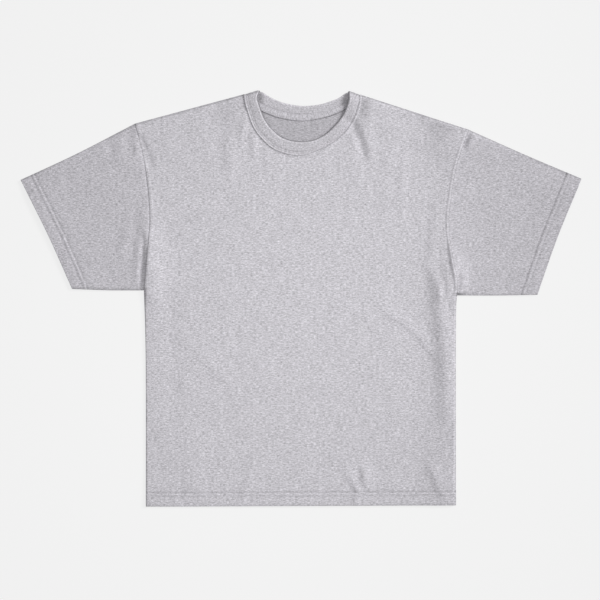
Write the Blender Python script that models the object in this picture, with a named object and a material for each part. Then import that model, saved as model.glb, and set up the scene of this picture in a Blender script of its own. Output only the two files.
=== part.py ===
"""Crew neck t-shirt laid flat with its front up, as six cut and sewn pieces of cloth.

Metres, +Z up. The shirt lies on its back on the plane z = 0, with the hem towards -Y and the
right-hand sleeve of the picture plane towards +X. The origin lies under the middle of its box.
All the named sizes are in millimetres; MM turns them into metres when a mesh is made.
"""
import math
from collections import namedtuple

import bmesh
import bpy
from mathutils import Vector

MM = 0.001

# Cloth and seams.
JERSEY = 1.2            # wall of a panel or sleeve
RIB_DOUBLED = 2.0       # the rib strip, folded double
TAPE = 1.0              # wall of the neck tape
SEAM_GAP = 0.3          # between two pieces that meet or lie on each other
EDGE_RADIUS = 1.7       # how a panel rolls round a side or shoulder seam
FOLD_HEIGHT = 2 * EDGE_RADIUS + SEAM_GAP
FOLD_RADIUS = FOLD_HEIGHT / 2

# Hems of the body and the sleeves: turned up once inside, so the wall is double there.
HEM_DEPTH = 24.0
HEM_STEP = 2.0
HEM_ROUND = 0.8

# How high the upper layer lies.
REST_HEIGHT = 4.9       # outer face of the upper layer, away from its edges
EDGE_RISE = 30.0        # over this distance it climbs from the folded edges to that height
CREASE_RISE = 8.0       # over this distance a crease runs out towards a folded edge
LOWEST_TOP = 2 * JERSEY + SEAM_GAP + 0.2

# Rows and columns of the meshes.
SIDE_ROWS = {"front": 16, "back": 4}
ARM_ROWS = 9
STRAP_ROWS = 7
STRAP_LENGTH = 90.0
SHOULDER_COLUMNS = {"front": 13, "back": 4}
NECK_COLUMNS = {"front": 18, "back": 14}
NECK_SIDE_ROWS = {"front": 7, "back": 3}
NECK_SIDE_LENGTH = {"front": 78.0, "back": 34.0}
HEM_NECK_SHARE = 0.33   # where the neck's columns meet the hem, as a share of its width
SLEEVE_ROWS = 6
RIM_TURNS = (90.0, 60.0, 30.0, 0.0)
FOLD_TURNS = (45.0, 90.0, 135.0)

# The outline, with the place of each corner on the left and on the right half.
Corner = namedtuple("Corner", "left_x left_y right_x right_y")
CORNERS = {
    "hem": Corner(-279.4, -375.2, 279.2, -372.7),
    "waist": Corner(-279.7, -110.0, 279.0, -57.0),
    "underarm": Corner(-283.0, 14.0, 281.0, 5.0),
    "cuff_low": Corner(-412.2, 16.7, 425.7, 6.2),
    "cuff_high": Corner(-504.9, 213.2, 504.9, 215.6),
    "shoulder": Corner(-298.8, 314.7, 301.5, 303.9),
    "neck": Corner(-103.3, 367.4, 107.6, 366.8),
}

# The armhole seam between the underarm and the shoulder corner.
ARMHOLE = (
    Corner(-280.6, 31.0, 279.3, 38.0),
    Corner(-277.0, 75.0, 272.9, 70.0),
    Corner(-271.8, 132.0, 265.7, 128.0),
    Corner(-272.8, 170.0, 268.5, 172.0),
    Corner(-277.4, 215.0, 277.2, 228.0),
    Corner(-285.1, 264.0, 287.5, 264.0),
)

# How far the middle of each sleeve edge lies inside the straight line between its corners.
Bow = namedtuple("Bow", "left right")
BOWS = {
    "sleeve_top": Bow(2.4, 1.0),
    "cuff": Bow(2.4, 2.8),
    "underarm": Bow(-1.0, -0.6),
}

# The neck rib from its sewn edge to its free edge, at stations round the neck.
Station = namedtuple("Station", "seam_x seam_y free_x free_y")
LEFT_FOLD = Station(-102.6, 364.6, -75.7, 372.5)
RIGHT_FOLD = Station(106.6, 364.2, 85.1, 371.3)
FRONT_NECK = (
    LEFT_FOLD,
    Station(-101.7, 354.7, -80.0, 360.0),
    Station(-97.4, 338.5, -75.9, 344.0),
    Station(-88.2, 312.2, -67.5, 323.4),
    Station(-74.5, 291.0, -56.0, 306.4),
    Station(-50.4, 269.0, -37.4, 290.0),
    Station(-22.0, 258.4, -16.5, 282.3),
    Station(2.0, 256.9, 3.0, 281.2),
    Station(31.0, 266.2, 23.0, 284.7),
    Station(57.5, 279.6, 44.5, 296.4),
    Station(79.7, 298.5, 64.0, 315.0),
    Station(95.9, 322.3, 76.8, 333.4),
    Station(103.5, 343.5, 83.4, 349.4),
    Station(106.0, 356.3, 86.0, 361.4),
    RIGHT_FOLD,
)
BACK_NECK = (
    LEFT_FOLD,
    Station(-91.8, 356.5, -69.5, 371.0),
    Station(-76.0, 345.8, -58.5, 364.4),
    Station(-58.0, 337.4, -45.0, 357.3),
    Station(-33.0, 329.2, -27.0, 351.0),
    Station(3.0, 324.8, 3.0, 346.4),
    Station(40.0, 329.8, 33.0, 349.0),
    Station(64.0, 337.5, 52.0, 354.4),
    Station(82.0, 346.8, 68.0, 360.8),
    Station(95.0, 355.8, 78.3, 368.0),
    RIGHT_FOLD,
)

# The rib turns over at the shoulder: its two layers lie this far above and below the axis.
RIB_AXIS_HEIGHT = 2.8
RIB_TURN_RADIUS = 1.8

# The neck tape across the back seam: distance past the seam towards the rib, and height.
TapeEdge = namedtuple("TapeEdge", "past_seam underside")
TAPE_SECTION = (
    TapeEdge(-5.2, JERSEY + SEAM_GAP),
    TapeEdge(-2.0, JERSEY + SEAM_GAP),
    TapeEdge(0.0, RIB_DOUBLED + SEAM_GAP),
    TapeEdge(5.8, RIB_DOUBLED + SEAM_GAP),
)
TAPE_END = 14.0         # the tape stops this far short of each turned shoulder
TAPE_STEPS = 20

# Soft swells of the upper layer: centre, reach along X and Y, and height.
Swell = namedtuple("Swell", "x y reach_x reach_y rise")
SWELLS = (
    Swell(5.0, -40.0, 190.0, 260.0, 1.3),
    Swell(-380.0, 165.0, 80.0, 90.0, 0.7),
    Swell(375.0, 160.0, 85.0, 90.0, 0.8),
)

# The main folds of the upper layer, each along a line: a ridge rises, a trough has a negative rise.
Fold = namedtuple("Fold", "x y x_end y_end width rise")
FOLDS = {
    "right_side_roll": Fold(263.0, 40.0, 266.0, -300.0, 24.0, 2.6),
    "right_side_trough_upper": Fold(223.0, 65.0, 236.0, 15.0, 26.0, -1.6),
    "right_side_trough": Fold(236.0, 15.0, 248.0, -170.0, 24.0, -2.0),
    "right_waist_diagonal": Fold(151.0, -21.0, 226.0, -96.0, 26.0, -1.1),
    "right_underarm_hollow": Fold(262.0, 62.0, 266.0, 30.0, 24.0, -1.4),
    "right_neck_drag": Fold(103.0, 306.0, 133.0, 231.0, 22.0, -1.3),
    "right_neck_ridge": Fold(124.0, 306.0, 154.0, 228.0, 24.0, 0.9),
    "left_neck_ridge": Fold(-105.0, 312.0, -105.0, 238.0, 22.0, 1.0),
    "left_neck_trough": Fold(-125.0, 320.0, -123.0, 245.0, 22.0, -0.8),
    "left_shoulder_crease": Fold(-282.0, 288.0, -266.0, 240.0, 22.0, -1.3),
    "left_sleeve_head_crease": Fold(-306.0, 296.0, -304.0, 250.0, 22.0, -1.0),
    "left_armhole_trough": Fold(-283.0, 116.0, -287.0, 30.0, 22.0, -1.8),
    "left_sleeve_ridge": Fold(-301.0, 108.0, -301.0, 42.0, 20.0, 1.5),
    "left_sleeve_drag": Fold(-313.0, 124.0, -331.0, 70.0, 20.0, -1.3),
    "left_side_roll": Fold(-259.0, 0.0, -259.0, -225.0, 30.0, 1.4),
    "left_side_trough": Fold(-227.0, 5.0, -227.0, -225.0, 28.0, -1.1),
    "left_waist_ridge": Fold(-200.0, -84.0, -122.0, -169.0, 26.0, 1.0),
    "left_waist_trough": Fold(-115.0, -55.0, -115.0, -122.0, 24.0, -0.8),
    "hem_drag_left": Fold(-90.0, -298.0, -115.0, -366.0, 22.0, -1.2),
    "hem_drag_right": Fold(76.0, -316.0, 99.0, -366.0, 22.0, -1.2),
    "hem_drag_corner": Fold(231.0, -300.0, 250.0, -352.0, 24.0, -1.5),
}

HEATHER_GREY = (0.545, 0.535, 0.565, 1.0)
RIB_GREY = (0.515, 0.505, 0.535, 1.0)
TAPE_GREY = (0.50, 0.49, 0.52, 1.0)


class SmoothLine:
    """A smooth line through the rows of a table, read by the distance along it in plan."""

    STEPS = 24

    def __init__(self, rows):
        self.rows = [tuple(row) for row in rows]
        self.samples = []
        self.distances = [0.0]
        for index in range(len(self.rows) - 1):
            for step in range(self.STEPS):
                self.samples.append(self.between(index, step / self.STEPS))
        self.samples.append(self.rows[-1])
        for start, end in zip(self.samples, self.samples[1:]):
            step_length = math.dist(start[:2], end[:2])
            self.distances.append(self.distances[-1] + step_length)
        self.length = self.distances[-1]

    def between(self, index, share):
        """The row values at a share of the way from one table row to the next (Catmull-Rom)."""
        last = len(self.rows) - 1
        before = self.rows[max(index - 1, 0)]
        start = self.rows[index]
        end = self.rows[index + 1]
        after = self.rows[min(index + 2, last)]
        values = []
        for a, b, c, d in zip(before, start, end, after):
            slope_in = (c - a) / 2
            slope_out = (d - b) / 2
            cubic = 2 * (b - c) + slope_in + slope_out
            square = 3 * (c - b) - 2 * slope_in - slope_out
            values.append(b + share * (slope_in + share * (square + share * cubic)))
        return tuple(values)

    def at(self, distance):
        """The row values at a distance along the line."""
        distance = min(max(distance, 0.0), self.length)
        index = 0
        while index < len(self.samples) - 2 and self.distances[index + 1] < distance:
            index += 1
        span = self.distances[index + 1] - self.distances[index]
        share = (distance - self.distances[index]) / span
        pair = zip(self.samples[index], self.samples[index + 1])
        return tuple(a + (b - a) * share for a, b in pair)

    def row_distance(self, index):
        """The distance along the line to one of its table rows."""
        if index < 0:
            index += len(self.rows)
        return self.distances[index * self.STEPS]

    def plan(self, distance):
        """The point in plan at a distance along the line."""
        return Vector(self.at(distance)[:2])


def corner(name, side):
    """A named corner of the outline on the left (-1) or the right (+1) half."""
    row = CORNERS[name]
    return pick(row, side)


def pick(row, side):
    """The left or the right point of a row that holds both."""
    if side < 0:
        return Vector((row.left_x, row.left_y))
    return Vector((row.right_x, row.right_y))


def spread(first, last, count):
    """Even steps from first to last, both included."""
    return [first + (last - first) * step / count for step in range(count + 1)]


def rim_distances(radius):
    """How far from a rolled edge each of its rim lines lies in plan, from the edge inwards."""
    return [radius * (1 - math.sin(math.radians(turn))) for turn in RIM_TURNS]


def bowed_line(start, end, bow, inside):
    """A shallow arc between two corners whose middle lies a bow's depth towards a point."""
    middle = (start + end) / 2
    across = Vector((start.y - end.y, end.x - start.x)).normalized()
    if across.dot(inside - middle) < 0:
        across = -across
    return SmoothLine((start, middle + across * bow, end))


def side_line(side):
    """The side seam from the hem up to the underarm."""
    return SmoothLine([corner(name, side) for name in ("hem", "waist", "underarm")])


def armhole_line(side):
    """The armhole seam from the underarm up to the shoulder corner."""
    middle = [pick(row, side) for row in ARMHOLE]
    return SmoothLine([corner("underarm", side), *middle, corner("shoulder", side)])


def neck_line(layer):
    """The neck seam with the rib's free edge beside it, from the left shoulder to the right."""
    stations = FRONT_NECK if layer == "front" else BACK_NECK
    left = extend_to_corner(stations[0], corner("neck", -1))
    right = extend_to_corner(stations[-1], corner("neck", 1))
    return SmoothLine((left, *stations, right))


def extend_to_corner(station, point):
    """The same station moved out so that its sewn edge lies on a neck corner."""
    shift = point - Vector(station[:2])
    free = Vector(station[2:]) + shift
    return Station(point.x, point.y, free.x, free.y)


def armhole_distances(length):
    """Where the rows of a panel or sleeve meet the armhole seam, from the underarm up."""
    rim = rim_distances(EDGE_RADIUS)
    strap = length - STRAP_LENGTH
    lower = spread(EDGE_RADIUS, strap, ARM_ROWS)
    upper = spread(strap, length - EDGE_RADIUS, STRAP_ROWS)[1:]
    return lower + upper, [length - distance for distance in rim[-2::-1]]


def smooth_step(value):
    """0 below 0, 1 above 1 and a soft climb between."""
    value = min(max(value, 0.0), 1.0)
    return value * value * (3 - 2 * value)


def distance_to_segment(point, start, end):
    """The shortest distance from a point to a straight stretch."""
    along = end - start
    share = (point - start).dot(along) / along.length_squared
    share = min(max(share, 0.0), 1.0)
    return (point - start - along * share).length


def folded_edges():
    """The straight stretches of the outline where the upper layer rolls down to the lower."""
    chains = (("hem", "underarm"), ("underarm", "cuff_low"), ("cuff_high", "shoulder"),
              ("shoulder", "neck"))
    edges = []
    for side in (-1, 1):
        for start, end in chains:
            edges.append((corner(start, side), corner(end, side)))
    return edges


FOLDED_EDGES = folded_edges()


def upper_height(point):
    """How high the outer face of the upper layer lies over a point in plan."""
    inside = min(distance_to_segment(point, start, end) for start, end in FOLDED_EDGES)
    inside -= EDGE_RADIUS
    swell = 0.0
    for row in SWELLS:
        across = (point.x - row.x) / row.reach_x
        along = (point.y - row.y) / row.reach_y
        swell += row.rise * math.exp(-across * across - along * along)
    crease = 0.0
    for row in FOLDS.values():
        start = Vector((row.x, row.y))
        end = Vector((row.x_end, row.y_end))
        away = 2 * distance_to_segment(point, start, end) / row.width
        crease += row.rise * math.exp(-away * away)
    rest = (REST_HEIGHT + swell - FOLD_HEIGHT) * smooth_step(inside / EDGE_RISE)
    height = FOLD_HEIGHT + rest + crease * smooth_step(inside / CREASE_RISE)
    return max(height, LOWEST_TOP)


def patch(bottom, top, left, right):
    """Fill the inside of four rows of points that share their corners (a Coons patch).

    bottom and top run from left to right, left and right run from the bottom to the top.
    """
    columns = shares(bottom)
    rows = shares(left)
    grid = []
    for j, v in enumerate(rows):
        line = []
        for i, u in enumerate(columns):
            ruled = bottom[i].lerp(top[i], v) + left[j].lerp(right[j], u)
            line.append(ruled - bottom[0].lerp(bottom[-1], u).lerp(top[0].lerp(top[-1], u), v))
        grid.append(line)
    return grid


def shares(points):
    """How far along a chain of points each one lies, from 0 to 1."""
    distances = [0.0]
    for start, end in zip(points, points[1:]):
        distances.append(distances[-1] + (end - start).length)
    return [distance / distances[-1] for distance in distances]


def half_width_marks(start, end, count):
    """Points from a rolled edge inwards: its rim lines, then even steps to the end."""
    length = (end - start).length
    distances = rim_distances(EDGE_RADIUS)[:-1] + spread(EDGE_RADIUS, length, count)
    return [start.lerp(end, distance / length) for distance in distances]


class PanelPlan:
    """The plan of a body panel: a grid of points with a notch cut out for the neck.

    points[row][column] is a point in plan. Rows run from the hem to the shoulders, and columns
    from the left to the right. The notch holds no cells.
    """

    def __init__(self, layer):
        self.layer = layer
        self.rim = len(RIM_TURNS) - 1
        shoulder_columns = SHOULDER_COLUMNS[layer]
        self.notch_left = self.rim + shoulder_columns
        self.notch_right = self.notch_left + NECK_COLUMNS[layer]
        self.last_column = self.notch_right + shoulder_columns + self.rim
        left = self.side_marks(-1)
        right = self.side_marks(1)
        self.last_row = len(left) - 1
        self.notch_row = self.last_row - self.rim - NECK_SIDE_ROWS[layer]
        self.neck = neck_line(layer)
        neck_sides = self.neck_sides()
        neck_low = self.neck_low()
        cut = self.notch_row
        left_low = half_width_marks(left[cut], neck_low[0], shoulder_columns)
        right_low = half_width_marks(right[cut], neck_low[-1], shoulder_columns)
        middle = left_low + neck_low[1:-1] + right_low[::-1]
        self.points = patch(self.hem_marks(), middle, left[:cut + 1], right[:cut + 1])
        left_top = half_width_marks(left[-1], neck_sides[0][-1], shoulder_columns)
        right_top = half_width_marks(right[-1], neck_sides[1][-1], shoulder_columns)
        left_strap = patch(left_low, left_top, left[cut:], neck_sides[0])
        right_strap = patch(right_low[::-1], right_top[::-1], neck_sides[1], right[cut:])
        gap = [None] * (NECK_COLUMNS[layer] - 1)
        for left_row, right_row in zip(left_strap[1:], right_strap[1:]):
            self.points.append(left_row + gap + right_row)

    def side_marks(self, side):
        """Points up the side seam and the armhole, one for each row."""
        seam = side_line(side)
        armhole = armhole_line(side)
        hem = [0.0, HEM_ROUND, HEM_DEPTH]
        body = spread(HEM_DEPTH + HEM_STEP, seam.length, SIDE_ROWS[self.layer])
        marks = [seam.plan(distance) for distance in hem + body]
        self.underarm_row = len(marks) - 1
        inner, rim = armhole_distances(armhole.length)
        marks += [armhole.plan(distance) for distance in inner + rim]
        return marks

    def hem_marks(self):
        """Points along the hem, one for each column."""
        left = corner("hem", -1)
        right = corner("hem", 1)
        neck_left = left.lerp(right, HEM_NECK_SHARE)
        neck_right = right.lerp(left, HEM_NECK_SHARE)
        start = half_width_marks(left, neck_left, SHOULDER_COLUMNS[self.layer])
        end = half_width_marks(right, neck_right, SHOULDER_COLUMNS[self.layer])
        middle = [neck_left.lerp(neck_right, share)
                  for share in spread(0.0, 1.0, NECK_COLUMNS[self.layer])]
        return start + middle[1:-1] + end[::-1]

    def neck_side_distances(self, side):
        """Where the rows above the notch meet one side of the neck seam, from its top down.

        One of them lies on the axis about which the rib turns over.
        """
        axis = self.neck.row_distance(1)
        if side > 0:
            axis = self.neck.length - self.neck.row_distance(-2)
        low = spread(axis, NECK_SIDE_LENGTH[self.layer], NECK_SIDE_ROWS[self.layer] - 1)
        return rim_distances(EDGE_RADIUS) + low

    def neck_sides(self):
        """Points up the left and up the right side of the neck, one for each row."""
        left = [self.neck.plan(distance) for distance in self.neck_side_distances(-1)]
        right = [self.neck.plan(self.neck.length - distance)
                 for distance in self.neck_side_distances(1)]
        return left[::-1], right[::-1]

    def neck_low_distances(self):
        """Where the columns meet the low part of the neck seam."""
        start = NECK_SIDE_LENGTH[self.layer]
        return spread(start, self.neck.length - start, NECK_COLUMNS[self.layer])

    def neck_low(self):
        """Points along the low part of the neck, one for each of its columns."""
        return [self.neck.plan(distance) for distance in self.neck_low_distances()]

    def in_notch(self, column, row):
        """Whether a point lies inside the notch, where the panel has no cloth."""
        return self.notch_left < column < self.notch_right and row > self.notch_row

    def edge_turn(self, column, row):
        """How far the cloth has turned down at a point, in degrees, and which way is out."""
        from_top = self.last_row - row
        if from_top < self.rim:
            side = -1 if column <= self.notch_left else 1
            slope = corner("neck", side) - corner("shoulder", side)
            out = Vector((-slope.y, slope.x)).normalized()
            if out.y < 0:
                out = -out
            return RIM_TURNS[from_top], out
        from_side = min(column, self.last_column - column)
        if from_side < self.rim and row <= self.underarm_row:
            out = Vector((-1.0 if column < self.rim else 1.0, 0.0))
            return RIM_TURNS[from_side], out
        return 0.0, Vector((0.0, 0.0))

    def is_hem(self, column, row):
        """Whether the wall is double at a point."""
        clear_of_sides = self.rim < column < self.last_column - self.rim
        return row <= 2 and clear_of_sides


def wall_thickness(doubled):
    """The wall of the jersey, single or in a turned-up hem."""
    return 2 * JERSEY if doubled else JERSEY


def stacked_height(point, doubled):
    """The upper layer's outer face, with room for both walls under it."""
    stack = 2 * wall_thickness(doubled) + SEAM_GAP
    return max(upper_height(point), stack)


def wall_points(plan_point, height, facing, turn, out, radius, thickness):
    """The outer and the inner point of a wall where it rolls round an edge.

    height is that of the outer face before it rolls, facing is 1 where it faces up and -1
    where it faces down, and turn is how far it has rolled, in degrees.
    """
    angle = math.radians(turn)
    height -= facing * radius * (1 - math.cos(angle))
    outer = Vector((plan_point.x, plan_point.y, height))
    normal = Vector((out.x * math.sin(angle), out.y * math.sin(angle), facing * math.cos(angle)))
    return outer, outer - normal * thickness


def panel_wall(plan, column, row):
    """The outer and the inner point of a body panel at a grid point."""
    point = plan.points[row][column]
    doubled = plan.is_hem(column, row)
    facing = 1 if plan.layer == "front" else -1
    height = stacked_height(point, doubled) if facing > 0 else 0.0
    turn, out = plan.edge_turn(column, row)
    thickness = wall_thickness(doubled)
    outer, inner = wall_points(point, height, facing, turn, out, EDGE_RADIUS, thickness)
    if row == 0 and doubled:
        outer.z -= facing * HEM_ROUND
        inner.z += facing * HEM_ROUND
    return outer, inner


def grid_mesh(columns, rows):
    """A flat grid whose vertices carry their column and row number."""
    mesh = bmesh.new()
    bmesh.ops.create_grid(mesh, x_segments=columns, y_segments=rows, size=0.5)
    column_layer = mesh.verts.layers.int.new("column")
    row_layer = mesh.verts.layers.int.new("row")
    for vertex in mesh.verts:
        vertex[column_layer] = round((vertex.co.x + 0.5) * columns)
        vertex[row_layer] = round((vertex.co.y + 0.5) * rows)
    return mesh, column_layer, row_layer


def add_wall(mesh, column_layer, row_layer, points_at):
    """Give an open grid its shape and its thickness.

    points_at returns the outer and the inner point for a column and a row, in millimetres.
    """
    outside = list(mesh.verts)
    made = bmesh.ops.extrude_face_region(mesh, geom=list(mesh.faces), use_keep_orig=True)
    inside = [item for item in made["geom"] if isinstance(item, bmesh.types.BMVert)]
    for vertex in outside:
        outer, _ = points_at(vertex[column_layer], vertex[row_layer])
        vertex.co = outer * MM
    for vertex in inside:
        _, inner = points_at(vertex[column_layer], vertex[row_layer])
        vertex.co = inner * MM
    bmesh.ops.recalc_face_normals(mesh, faces=list(mesh.faces))


def build_panel(name, plan, material, collection):
    """A body panel as one wall of cloth, flat but for its rolled edges and its folds."""
    mesh, column_layer, row_layer = grid_mesh(plan.last_column, plan.last_row)
    notch = [vertex for vertex in mesh.verts
             if plan.in_notch(vertex[column_layer], vertex[row_layer])]
    bmesh.ops.delete(mesh, geom=notch, context="VERTS")
    add_wall(mesh, column_layer, row_layer, lambda i, j: panel_wall(plan, i, j))
    return finish_object(name, mesh, material, collection)


class SleevePlan:
    """The plan of a sleeve that lies flat: stations across it, and rows from armhole to cuff."""

    def __init__(self, side):
        self.side = side
        self.rim = len(RIM_TURNS) - 1
        armhole = armhole_line(side)
        rim = rim_distances(FOLD_RADIUS)
        inner, _ = armhole_distances(armhole.length)
        top_rim = [armhole.length - distance for distance in rim[::-1]]
        self.across = rim + inner[1:-1] + top_rim
        self.last_station = len(self.across) - 1
        seam = [self.off_seam(armhole, distance) for distance in self.across]
        middle = corner("cuff_high", side).lerp(corner("underarm", side), 0.5)
        low = bowed_line(seam[0], corner("cuff_low", side), BOWS["underarm"][side > 0], middle)
        high = bowed_line(seam[-1], corner("cuff_high", side), BOWS["sleeve_top"][side > 0],
                          middle)
        cuff = bowed_line(corner("cuff_low", side), corner("cuff_high", side),
                          BOWS["cuff"][side > 0], middle)
        cuff_marks = [cuff.plan(distance) for distance in self.cuff_distances(cuff.length)]
        self.points = patch(self.along(low), self.along(high), seam, cuff_marks)
        self.last_row = len(self.points[0]) - 1
        self.hem_start = self.last_row - 2

    def off_seam(self, armhole, distance):
        """A point of the armhole seam, moved out by the gap between panel and sleeve."""
        near = armhole.plan(distance - 1.0)
        far = armhole.plan(distance + 1.0)
        along = (far - near).normalized()
        out = Vector((along.y, -along.x)) * self.side
        return armhole.plan(distance) + out * SEAM_GAP

    def cuff_distances(self, length):
        """Where the stations meet the cuff, with the same rims as at the armhole."""
        rim = rim_distances(FOLD_RADIUS)
        start, end = self.across[self.rim], self.across[-1 - self.rim]
        room = length - 2 * FOLD_RADIUS
        middle = [FOLD_RADIUS + room * (distance - start) / (end - start)
                  for distance in self.across[self.rim:-self.rim]]
        return rim[:-1] + middle + [length - distance for distance in rim[-2::-1]]

    def along(self, line):
        """Points from the armhole to the cuff, close together at the hem."""
        hem_top = line.length - HEM_DEPTH
        distances = spread(0.0, hem_top - HEM_STEP, SLEEVE_ROWS)
        distances += [hem_top, line.length - HEM_ROUND, line.length]
        return [line.plan(distance) for distance in distances]

    def wall(self, ring, row):
        """The outer and the inner point at a ring position, up the top layer and back below."""
        upper = ring <= self.last_station
        station = ring if upper else 2 * self.last_station - ring
        point = self.points[station][row]
        from_edge = min(station, self.last_station - station)
        turn = RIM_TURNS[min(from_edge, self.rim)]
        low_side = station < self.last_station - station
        out = self.edge_out(low_side, row)
        doubled = row >= self.hem_start and from_edge > self.rim
        thickness = wall_thickness(doubled)
        facing = 1 if upper else -1
        height = stacked_height(point, doubled) if upper else 0.0
        outer, inner = wall_points(point, height, facing, turn, out, FOLD_RADIUS, thickness)
        if row == self.last_row and doubled:
            outer.z -= facing * HEM_ROUND
            inner.z += facing * HEM_ROUND
        return outer, inner

    def edge_out(self, low_side, row):
        """The direction out of the sleeve across its underarm or its top edge."""
        edge = self.points[0] if low_side else self.points[-1]
        near = edge[max(row - 1, 0)]
        far = edge[min(row + 1, self.last_row)]
        along = (far - near).normalized()
        out = Vector((-along.y, along.x))
        points_down = out.y < 0
        return out if points_down == low_side else -out


def build_sleeve(name, side, material, collection):
    """A sleeve as a flattened tube of cloth, open at the armhole and at the cuff."""
    plan = SleevePlan(side)
    ring = 2 * plan.last_station
    mesh, column_layer, row_layer = grid_mesh(ring, plan.last_row)
    for vertex in mesh.verts:
        vertex[column_layer] %= ring
        outer, _ = plan.wall(vertex[column_layer], vertex[row_layer])
        vertex.co = outer * MM
    bmesh.ops.remove_doubles(mesh, verts=list(mesh.verts), dist=0.00001)
    add_wall(mesh, column_layer, row_layer, plan.wall)
    return finish_object(name, mesh, material, collection)


def rib_sections(front, back):
    """Sections round the neck rib: sewn point, free point and the direction of its right side."""
    up = Vector((0.0, 0.0, 1.0))
    sections = []
    folds = ((RIGHT_FOLD, 1), (LEFT_FOLD, -1))
    for plan, facing, (fold, side) in zip((front, back), (up, -up), folds):
        past_axis = len(RIM_TURNS) + 1
        start = plan.neck_side_distances(-1)[past_axis:]
        end = [plan.neck.length - distance for distance in plan.neck_side_distances(1)[past_axis:]]
        path = start + plan.neck_low_distances()[1:-1] + end[::-1]
        layer = [(Station(*plan.neck.at(distance)), facing) for distance in path]
        if facing.z < 0:
            layer = layer[::-1]
        sections += layer
        seam, free = Vector(fold[:2]), Vector(fold[2:])
        slope = (free - seam).normalized()
        out = Vector((-slope.y, slope.x, 0.0))
        if out.y < 0:
            out = -out
        sections.append((fold, facing))
        for turn in FOLD_TURNS:
            angle = math.radians(turn)
            normal = facing * math.cos(angle) + out * math.sin(angle)
            sections.append((fold, normal))
        sections.append((fold, -facing))
    return sections


def rib_profile(width):
    """The rib's cross-section: distance from the sewn edge and height off its middle."""
    half = RIB_DOUBLED / 2
    soft = half * math.sin(math.radians(45.0))
    near, far = width * 0.35, width * 0.7
    start = SEAM_GAP
    upper = [(start, half), (near, half), (far, half), (width - half, half)]
    tip = [(width - half + soft, soft), (width, 0.0), (width - half + soft, -soft)]
    lower = [(across, -height) for across, height in upper[::-1]]
    return upper + tip + lower


def rib_point(section, index):
    """A point of the neck rib: one of its profile, set at one of its sections."""
    station, normal = section
    seam = Vector((station.seam_x, station.seam_y, RIB_AXIS_HEIGHT))
    free = Vector((station.free_x, station.free_y, RIB_AXIS_HEIGHT))
    across, height = rib_profile((free - seam).length)[index]
    slope = (free - seam).normalized()
    return seam + slope * across + normal * (RIB_TURN_RADIUS + height)


def build_rib(name, front, back, material, collection):
    """The neck rib as one closed ring that turns over at both shoulders."""
    sections = rib_sections(front, back)
    around = len(sections)
    profile = len(rib_profile(1.0))
    mesh, column_layer, row_layer = grid_mesh(around, profile)
    for vertex in mesh.verts:
        section = sections[vertex[column_layer] % around]
        vertex.co = rib_point(section, vertex[row_layer] % profile) * MM
    bmesh.ops.remove_doubles(mesh, verts=list(mesh.verts), dist=0.00001)
    bmesh.ops.recalc_face_normals(mesh, faces=list(mesh.faces))
    return finish_object(name, mesh, material, collection)


def tape_points(back, column, row):
    """The upper and the lower point of the neck tape at a step along it and across it."""
    distance = spread(TAPE_END, back.neck.length - TAPE_END, TAPE_STEPS)[column]
    station = Station(*back.neck.at(distance))
    seam = Vector((station.seam_x, station.seam_y))
    slope = (Vector((station.free_x, station.free_y)) - seam).normalized()
    edge = TAPE_SECTION[row]
    point = seam + slope * edge.past_seam
    upper = Vector((point.x, point.y, edge.underside + TAPE))
    return upper, Vector((point.x, point.y, edge.underside))


def build_tape(name, back, material, collection):
    """The tape that covers the back neck seam, laid over the panel and the rib."""
    mesh, column_layer, row_layer = grid_mesh(TAPE_STEPS, len(TAPE_SECTION) - 1)
    add_wall(mesh, column_layer, row_layer, lambda i, j: tape_points(back, i, j))
    return finish_object(name, mesh, material, collection)


def finish_object(name, mesh, material, collection):
    """Turn a finished bmesh into a smooth-shaded object with its material."""
    data = bpy.data.meshes.new(name)
    mesh.to_mesh(data)
    mesh.free()
    data.shade_smooth()
    data.set_sharp_from_angle(angle=math.radians(50.0))
    data.materials.append(material)
    piece = bpy.data.objects.new(name, data)
    collection.objects.link(piece)
    return piece


def cloth_material(name, colour, roughness):
    """A plain cloth finish."""
    material = bpy.data.materials.new(name)
    material.use_nodes = True
    shader = material.node_tree.nodes["Principled BSDF"]
    shader.inputs["Base Color"].default_value = colour
    shader.inputs["Roughness"].default_value = roughness
    shader.inputs["Metallic"].default_value = 0.0
    return material


def main():
    """Build the shirt in a collection of its own."""
    for item in list(bpy.data.objects):
        bpy.data.objects.remove(item, do_unlink=True)
    shirt = bpy.data.collections.new("crew_neck_t_shirt")
    bpy.context.scene.collection.children.link(shirt)
    front = PanelPlan("front")
    back = PanelPlan("back")
    build_panel("back_panel", back, cloth_material("back_jersey", HEATHER_GREY, 0.93), shirt)
    build_panel("front_panel", front, cloth_material("front_jersey", HEATHER_GREY, 0.92), shirt)
    for name, side in (("sleeve_left", -1), ("sleeve_right", 1)):
        build_sleeve(name, side, cloth_material(name + "_jersey", HEATHER_GREY, 0.92), shirt)
    build_rib("neck_rib", front, back, cloth_material("rib_knit", RIB_GREY, 0.9), shirt)
    build_tape("neck_tape", back, cloth_material("tape_jersey", TAPE_GREY, 0.9), shirt)


main()
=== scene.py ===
"""A heather grey crew neck t-shirt laid flat with its front up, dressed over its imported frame.

Sizes are in millimetres, and MM turns them into metres when a mesh is made. The hem lies
towards -Y, the sleeves point towards -X and +X, and the back of the shirt rests on z = 0.
"""
import logging
import math
from collections.abc import Sequence
from dataclasses import dataclass, field
from enum import Enum
from typing import NamedTuple, Self

import bmesh
import bpy
import numpy as np
from bmesh.types import BMesh, BMFace, BMVert
from bpy.types import Material, Mesh, Node, NodeSocket, Object
from mathutils import Matrix, Vector


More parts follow.
